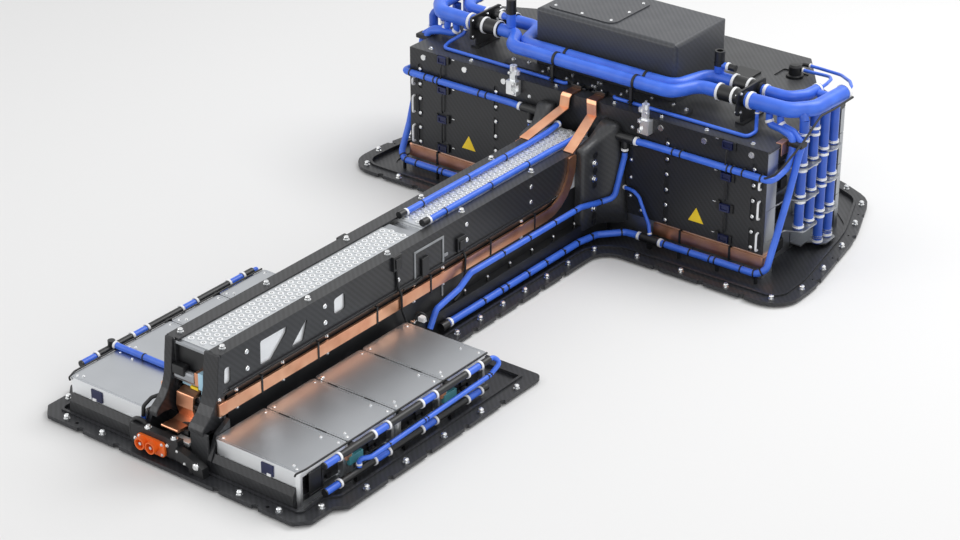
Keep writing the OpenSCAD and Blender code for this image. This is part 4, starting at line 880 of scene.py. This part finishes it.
def placeCellRings(settings):
    places = []
    for start, count in settings["blocks"]:
        for i in range(count):
            for x, stagger in settings["rows"]:
                y = start + settings["firstCell"] + pack["cellPitch"] * (i + stagger)
                places.append(((x, y, settings["top"]), (0, 0, 1), 0, 1))
    placePattern("cellRings", ringPattern("cellRingPattern", settings), places, "darkMetal")


placeCellRings(cellRingSettings)
print("nuts, clamps and rings placed")


# Thin cables, small hoses, and the stems, pins and elbows that they meet
cableSettings = [
    {"name": "lidEdgeCables", "r": 2.4, "bend": 26, "finish": "rubber",
     "routes": [[(352, -1091, 97), (355, -1092, 104), (362.6, -1066, 107), (362.6, -400, 107)]]},
    {"name": "barTrim", "r": 3, "bend": 30, "finish": "black",
     "routes": [[(82.9, -1046, 150), (82.9, -1042, 176), (82.9, -1010, 182), (82.9, 250, 182)]]},
    {"name": "tunnelCables", "r": 3, "bend": 16, "finish": "rubber",
     "routes": [
         [(87.2, -403, 246), (88, -400, 200), (94, -394, 176), (94.5, -393, 132), (99, -378, 84), (99, -360, 75.2)],
         [(87.2, -136, 197), (88, -136, 184), (94, -136, 176), (94.5, -140, 126), (99, -166, 84), (99, -190, 75.2)],
         [(87.2, -298, 192), (88, -304, 186), (86.6, -330, 178), (83, -372, 177)],
     ]},
    {"name": "mouthCables", "r": 2.6, "bend": 18, "finish": "rubber", "mirrored": False,
     "routes": [
         [(40, -1052, 114), (20, -1056, 96), (-12, -1058, 88), (-34, -1062, 78), (-40, -1066, 64)],
         [(40, -1058, 106), (47, -1072, 76), (45, -1078, 54), (45, -1084, 34), (48, -1086, 22)],
     ]},
    {"name": "columnCables", "r": 3, "bend": 30, "finish": "rubber", "mirrored": False,
     "routes": [[
         (592, 476, 307), (618, 483, 320), (634, 500, 346), (640, 546, 371), (643, 584, 391), (643, 625, 414),
         (642, 662, 431), (650, 714, 434), (650, 812, 434),
     ]]},
    {"name": "faceCables", "r": 2.2, "bend": 12, "finish": "rubber",
     "routes": [
         [(470, 490, 352), (470, 483, 344), (470, 482, 320), (470, 482, 292), (470, 488, 286)],
         [(470, 490, 262), (470, 486, 256), (470, 486, 210), (470, 490, 202)],
         [(470, 490, 172), (470, 486, 166), (470, 486, 118), (470, 490, 110)],
     ]},
    {"name": "thinFaceHoses", "r": 5, "bend": 24, "finish": "hose",
     "routes": [[
         (154, 486, 153), (188, 482, 152), (207, 480, 141), (227, 478, 101), (245, 474, 72), (254, 467, 45),
     ]]},
    {"name": "wideBranches", "r": 9, "bend": 20, "finish": "hose", "mirrored": False,
     "routes": [
         [(rightPortX, rearPortY, 482), (336, rearPortY, 482)],
         [(leftPortX, frontPortY, 486), (-350, frontPortY, 486)],
     ]},
    {"name": "branchTips", "r": 9.6, "bend": 20, "finish": "black", "mirrored": False,
     "routes": [
         [(336, rearPortY, 482), (362, rearPortY, 482)],
         [(-350, frontPortY, 486), (-372, frontPortY, 486)],
     ]},
    {"name": "portStems", "r": 13.4, "bend": 20, "finish": "hose", "mirrored": False,
     "routes": [
         [(rightPortX, rearPortY, 460.6), (rightPortX, rearPortY, 479)],
         [(leftPortX, frontPortY, 460.6), (leftPortX, frontPortY, 499)],
     ]},
    {"name": "valveHoses", "r": 4.6, "bend": 60, "finish": "hose", "mirrored": False,
     "routes": [
         [(398, 978, 392), (430, 977, 393), (497, 958, 404), (540, 888, 430), (561, 826, 443), (562, 786, 443)],
         [(398, 1016, 392), (430, 1014, 393), (518, 982, 406), (590, 902, 432), (624, 850, 443), (626, 814, 443)],
     ]},
    {"name": "spineEnds", "r": 11.5, "bend": 20, "finish": "black",
     "routes": [[(spineHoseX, -237, footHoseZ), (spineHoseX, -264, footHoseZ)]]},
    {"name": "frontArch", "r": 6, "bend": 20, "finish": "black", "mirrored": False,
     "routes": [[(-128, -1116, 30), (-132, -1114, 70), (-120, -1108, 88), (-98, -1106, 84), (-92, -1106, 78)]]},
    {"name": "frontStub", "r": 5.5, "bend": 12, "finish": "hose", "mirrored": False,
     "routes": [[(-114, -1092, 58), (-113, -1092, 86)]]},
    {"name": "frontStubHose", "r": 4.6, "bend": 16, "finish": "rubber", "mirrored": False,
     "routes": [[(-113, -1092, 86), (-112, -1090, 112), (-100, -1074, 132), (-83, -1060, 140)],
                [(-114, -1092, 58), (-110, -1098, 40), (-104, -1106, 30)]]},
    {"name": "faceCouplings", "r": 10.8, "bend": 12, "finish": "black",
     "routes": [[(couplingX, couplingY, 298), (couplingX, couplingY, 272)]]},
    {"name": "valveElbows", "r": 5.4, "bend": 8, "finish": "black", "mirrored": False,
     "routes": [[(372, 978, 392), (403, 978, 392)], [(376, 980, 384), (378, 1016, 391), (403, 1016, 392)]]},
    {"name": "columnStubs", "r": 12.6, "bend": 14, "finish": "hoseDeep",
     "routes": [[(pack["columnX"], 632, 418), (608, 634, 428), (596, 640, 436)]]},
    {"name": "contactPins", "r": 4, "bend": 4, "finish": "steel", "mirrored": False,
     "routes": [[(x, -1130.5, 46), (x, -1140.5, 46)] for x in (-80.5, -47.5)]},
    {"name": "socketHoop", "r": 2.2, "bend": 14, "finish": "rubber", "mirrored": False,
     "routes": [[(125, -378, 105), (125, -378, 126), (137, -374, 134), (150, -366, 124), (152, -362, 105)]]},
    {"name": "railElbows", "r": 9, "bend": 12, "finish": "black",
     "routes": [[(railX, railEnd, 102), (railX, railEnd + 11, 102)]]},
]

for made in cableSettings:
    sweepRoutes(made["name"], allRoutes(made), made["r"], made["bend"], made["finish"], sides=16, steps=6)
print("cables swept:", len(cableSettings))


# Places of things that stand in rows
strapYs = (-906, -706, -486, -276, -29, 162)
tabYs = (-880, -532)
latchYs = (-382, -734)
moduleEndYs = [pack["moduleY0"] + pack["modulePitch"] * k for k in (1, 2, 3)]
socketZs = [84 + 90 * k for k in range(4)]

# Plates, holders and straps that sit on the pack's pieces
plateSettings = [
    # ties over the tunnel bars and round the bars at the foot of the block
    {"name": "barStraps", "finish": "rubber", "bevel": 0.4, "boxes": [
        ((90.4, y, 131), (91.8, y + 6, 180)) for y in strapYs
    ] + [
        ((79.7, y, z), (91.8, y + 6, z + 1.4)) for y in strapYs for z in (130.6, 178.6)
    ] + [
        ((x, 488.6, 36), (x + 7, 490.2, 74)) for x in (331, 487)
    ] + [
        ((x, 488.6, z), (x + 7, 497, z + 1.5)) for x in (331, 487) for z in (35.4, 73)
    ]},
    # connectors on the tunnel with their plugs, and the frame round the panel between them
    {"name": "tunnelConnectors", "finish": "black", "bevel": 1.2, "boxes": [
        ((83.8, -418, 246), (92, -386, 286)), ((83.8, -164, 197), (92, -130, 236)),
        ((83.8, -306, 187), (91, -278, 236)), ((91, -412, 252), (95, -392, 278)), ((91, -158, 202), (95, -136, 226)),
    ]},
    {"name": "tunnelFrame", "finish": "grey", "bevel": 0.6, "boxes": [
        ((83.8, -331.5, 190), (86.2, -325.5, 264)), ((83.8, -325.5, 258), (86.2, -213, 264)),
        ((83.8, -219, 189), (86.2, -213, 258)), ((79.5, -219, 94), (82.5, -213, 131)),
        ((83.8, -213, 204), (87, -198, 212)),
    ]},
    # in the mouth of the tunnel: closing plate, bars, block, and the copper and pale blue pieces
    # beside it; then feet, the skirt under the right cheek, and a shelf
    {"name": "mouthPlate", "finish": "black", "mirrored": False, "bevel": 0.8, "boxes": [
        ((-79.6, -1023.6, 180), (79.6, -1020.1, 270)), ((-26, -1044, 124), (38, -1024, 134)),
        ((-74, -1030, 76), (-50, -1020.2, 162)), ((34, -1027.5, 76), (60, -1020.2, 160)),
    ]},
    {"name": "mouthBars", "finish": "extrusion", "mirrored": False, "bevel": 1.0, "boxes": [
        ((-70, -1031, 271), (70, -1020.2, 279)), ((-60, -1036, 181), (14, -1023.8, 194)),
        ((-10, -1030, 84), (12, -1020.2, 150)),
    ]},
    {"name": "mouthBlock", "finish": "extrusion", "mirrored": False, "bevel": 7, "boxes": [
        ((-60, -1042, 184), (8, -1024, 213)),
    ]},
    {"name": "mouthEnds", "finish": "copper", "mirrored": False, "bevel": 0.8, "boxes": [
        ((8.3, -1040, 186), (20, -1023.9, 219)),
    ]},
    {"name": "mouthPanes", "finish": "paleBlue", "mirrored": False, "bevel": 0.8, "boxes": [
        ((20.3, -1041, 179), (36, -1023.9, 222)),
    ]},
    {"name": "mouthFoot", "finish": "black", "mirrored": False, "bevel": 2, "boxes": [
        ((-24, -1076, 61.8), (14, -1046, 82)), ((-56, -1046, 200), (-20, -1026, 224)),
    ]},
    {"name": "mouthSkirt", "finish": "carbonPaintedLight", "mirrored": False, "bevel": 2, "boxes": [
        ((41, -1098, 22), (95, -1091, 110)),
    ]},
    {"name": "mouthShelf", "finish": "cast", "mirrored": False, "bevel": 1.5, "boxes": [
        ((-8, -1101, 61.8), (38, -1078, 70)),
    ]},
    # clips of the hoses at the corners of the block, and front ends of the tunnel bars
    {"name": "hoseClips", "finish": "rubber", "bevel": 2.5, "boxes": [
        ((593, 580, 361), (637, 611, 374)),
    ]},
    {"name": "barCaps", "finish": "copper", "bevel": 1, "boxes": [
        ((84.1, -1049, 134), (91.6, -1021, 167)),
    ]},
    # on top of the modules, beside the tunnel
    {"name": "moduleSocketWhite", "finish": "white", "mirrored": False, "bevel": 1.5, "boxes": [
        ((128, -374, 104.8), (148, -358, 117)),
    ]},
    {"name": "cornerLatches", "finish": "steel", "bevel": 0.8, "boxes": [
        ((118, y - 9, 104.8), (131, y - 4, 109)) for y in latchYs
    ] + [((120, y, 104.8), (127, y + 7, 108)) for y in latchYs]},
    # clip under the block in the mouth
    {"name": "mouthClips", "finish": "yellow", "mirrored": False, "bevel": 0.6, "boxes": [
        ((-8, -1038, 172), (16, -1024.2, 179)),
    ]},
    # bars between the two rows of cells
    {"name": "cellBridge", "finish": "extrusion", "mirrored": False, "bevel": 1.2, "boxes": [
        ((-44, -294, 252), (44, -270, 281)), ((-44, -268, 244), (44, -236, 272)),
    ]},
    # sockets on the front of the modules, windows, tabs and plugs on their outer sides, and the
    # dark seams between their lids
    {"name": "moduleSockets", "finish": "navy", "bevel": 0.8, "boxes": [
        ((250, -1090.5, 68), (285, -1086.6, 97)),
    ]},
    {"name": "socketTips", "finish": "white", "bevel": 0.6, "boxes": [
        ((268, -1092.5, 68), (280, -1090.3, 75)),
    ]},
    {"name": "moduleWindows", "finish": "black", "bevel": 1.0, "boxes": [
        ((357.5, -1054, 30), (361.5, -1006, 34)), ((357.5, -1054, 84), (361.5, -1006, 88)),
        ((357.5, -1054, 34), (361.5, -1050, 84)), ((357.5, -1010, 34), (361.5, -1006, 84)),
        ((357.8, -1050, 34), (359.5, -1010, 84)),
    ]},
    {"name": "moduleTabs", "finish": "copper", "bevel": 0.5, "boxes": [
        ((354, y - 44, 58), (361, y - 26, 76)) for y in tabYs
    ]},
    {"name": "modulePlugs", "finish": "teal", "bevel": 0.8, "boxes": [
        ((354, y - 36, 42), (363, y + 12, 64)) for y in tabYs
    ]},
    {"name": "seamStrips", "finish": "rubber", "bevel": 0.2, "boxes": [
        ((x, y - 2.9, 100), (x + 32, y - 0.1, 106.4)) for x in (150, 262) for y in moduleEndYs
    ]},
    # holders of the face sockets, and small bright plates beside them
    {"name": "faceHolders", "finish": "black", "bevel": 0.8, "boxes": [
        ((446, 487, z), (454.8, 493.8, z + 24)) for z in socketZs
    ] + [((486, 489, z - 4), (494, 493.8, z + 20)) for z in socketZs]},
    {"name": "faceMarkers", "finish": "steel", "bevel": 0.3, "boxes": [
        ((430, 493, z + 15), (439, 494.2, z + 17.5)) for z in socketZs
    ]},
    # plate behind the cover and strip before the ledge, and the copper angle at the corner
    {"name": "topPlates", "finish": "black", "bevel": 1.0, "boxes": [
        ((231, 856, 373), (300, 930, 379)), ((-4, 540, 373), (4, 546, 383)),
    ]},
    {"name": "cornerAngles", "finish": "copper", "mirrored": False, "bevel": 0.6, "boxes": [
        ((574, 556, 373), (592, 590, 375)), ((589.6, 556, 340), (592, 590, 373)),
    ]},
    # black sheets at the back of the slots in the face, painted shade of the slots' depth; covers on
    # the sides of the stacks, blocks that hold the top straps, and feet of the pipe ties
    {"name": "slotBacks", "finish": "black", "bevel": 0, "boxes": [
        ((276.5, 496.75, 78), (291.5, 496.95, 371)), ((544.5, 496.75, 78), (559.5, 496.95, 371)),
    ]},
    {"name": "stackCovers", "finish": "black", "bevel": 1.5, "boxes": [
        ((555.1, 548, low + 8), (562, 640, low + 76)) for low in (20, 112, 203, 288)
    ] + [((555.1, 600, low + 20), (572, 630, low + 50)) for low in (20, 112, 203)]},
    {"name": "strapBlocks", "finish": "black", "bevel": 1.5, "boxes": [
        ((22, 528, 373.2), (56, 546, 387)), ((10, 531, 373.2), (22, 543, 381)),
    ]},
    {"name": "pipeFeet", "finish": "black", "mirrored": False, "bevel": 0.8, "boxes": [
        ((x, 526, 373), (x + 9, 534, 425)) for x in (-124, 134)
    ] + [((x, 518, 383), (x + 9, 545, 387)) for x in (-124, 134)]},
]

for made in plateSettings:
    boxes = mirrorBoxes(made["boxes"]) if made.get("mirrored", True) else made["boxes"]
    boxesPiece(made["name"], boxes, made["finish"], made["bevel"])
print("plates placed:", len(plateSettings))


# Carbon cheeks of the mouth, leaning forward towards the foot: an outline of (y, z), pushed
# across each range of X
cheekSettings = {
    "across": [(38, 83.95), (-83.95, -60)], "bevel": 2,
    "outline": [
        (-1028.2, 285), (-1035, 284), (-1041, 240), (-1045, 198), (-1051, 176), (-1058, 160), (-1072, 141),
        (-1092, 126), (-1101, 116), (-1100, 104), (-1078, 108), (-1050, 104), (-1028.2, 84),
    ],
}


def addCheeks(settings):
    points, faces = [], []
    for low, high in settings["across"]:
        first, count = len(points), len(settings["outline"])
        points += [(x, y, z) for x in (low, high) for y, z in settings["outline"]]
        faces += [tuple(first + k for k in range(count))[::-1], tuple(first + count + k for k in range(count))]
        for k in range(count):
            n = (k + 1) % count
            faces.append((first + k, first + n, first + count + n, first + count + k))
    mesh = makeMesh("mouthCheeks", points, faces, "carbon")
    softenEdges(addPiece("mouthCheeks", mesh), settings["bevel"])


addCheeks(cheekSettings)
print("cheeks placed")

# Plain yellow triangles on the face
patchSettings = {"x": 380, "low": 112, "side": 48, "thick": 0.8, "sunk": 0.2, "bevel": 0.4}


def addPatches(settings):
    side, y = settings["side"], blockY - pack["faceT"]
    tall = side * math.sqrt(3) / 2
    points, faces = [], []
    for x in (settings["x"], -settings["x"]):
        first = len(points)
        corners = [(x - side / 2, settings["low"]), (x + side / 2, settings["low"]), (x, settings["low"] + tall)]
        for depth in (-settings["thick"], settings["sunk"]):
            points += [(px, y + depth, pz) for px, pz in corners]
        faces += [(first, first + 1, first + 2), (first + 5, first + 4, first + 3)]
        faces += [(first + k, first + 3 + k, first + 3 + (k + 1) % 3, first + (k + 1) % 3) for k in range(3)]
    mesh = makeMesh("colourPatches", points, faces, "yellow")
    softenEdges(addPiece("colourPatches", mesh), settings["bevel"])


addPatches(patchSettings)
print("patches placed")


studioSettings = {
    "floorColour": "#e2e2e2", "floorSize": 30000, "world": 0.7,
    "lamps": [
        {"name": "overhead", "place": (1100, 2300, 3600), "aim": (0, 0, 100), "size": (2600, 2200), "watts": 105},
        {"name": "side", "place": (4200, -2600, 2600), "aim": (0, 0, 150), "size": (2600, 2600), "watts": 42},
        {"name": "left", "place": (-3100, -3500, 2500), "aim": (0, 0, 150), "size": (2600, 2600), "watts": 40},
    ],
}


def buildStudio(settings):
    size = settings["floorSize"] / 2
    mesh = makeMesh("studioFloor", [(-size, -size, 0), (size, -size, 0), (size, size, 0), (-size, size, 0)],
                    [(0, 1, 2, 3)])
    # painted board: plain and matt, so the pack's soft shadow is all that shows on it
    finish = startFinish("paintedBoardPale", {"Base Color": settings["floorColour"], "Roughness": 0.9})[0]
    mesh.materials.append(finish)
    floor = bpy.data.objects.new("studioFloor", mesh)
    scene.collection.objects.link(floor)

    world = bpy.data.worlds.new("studioWorld")
    scene.world = world
    world.use_nodes = True
    shade = world.node_tree.nodes["Background"]
    shade.inputs["Color"].default_value = (1, 1, 1, 1)
    # the camera, metal and glass see a white room, which lights the pack a little less
    path = addNode(world.node_tree, "ShaderNodeLightPath").outputs
    seen = path["Is Camera Ray"]
    for kind in ("Is Glossy Ray", "Is Transmission Ray"):
        most = addNode(world.node_tree, "ShaderNodeMath", {"operation": "MAXIMUM"}, {0: seen, 1: path[kind]})
        seen = most.outputs[0]
    strength = addNode(world.node_tree, "ShaderNodeMapRange", None,
                       {"Value": seen, "To Min": settings["world"], "To Max": 1.0})
    world.node_tree.links.new(strength.outputs["Result"], shade.inputs["Strength"])

    for lamp in settings["lamps"]:
        data = bpy.data.lights.new(lamp["name"], "AREA")
        data.shape = "RECTANGLE"
        data.size, data.size_y = lamp["size"][0] * mm, lamp["size"][1] * mm
        data.energy = lamp["watts"]
        light = bpy.data.objects.new(lamp["name"], data)
        scene.collection.objects.link(light)
        place, aim = Vector(lamp["place"]) * mm, Vector(lamp["aim"]) * mm
        turn = (aim - place).to_track_quat("-Z", "Y").to_matrix().to_4x4()
        light.matrix_world = Matrix.Translation(place) @ turn


buildStudio(studioSettings)
scene.view_settings.view_transform = "Standard"
print("studio lit")

for pattern in patterns:
    bpy.data.objects.remove(pattern)
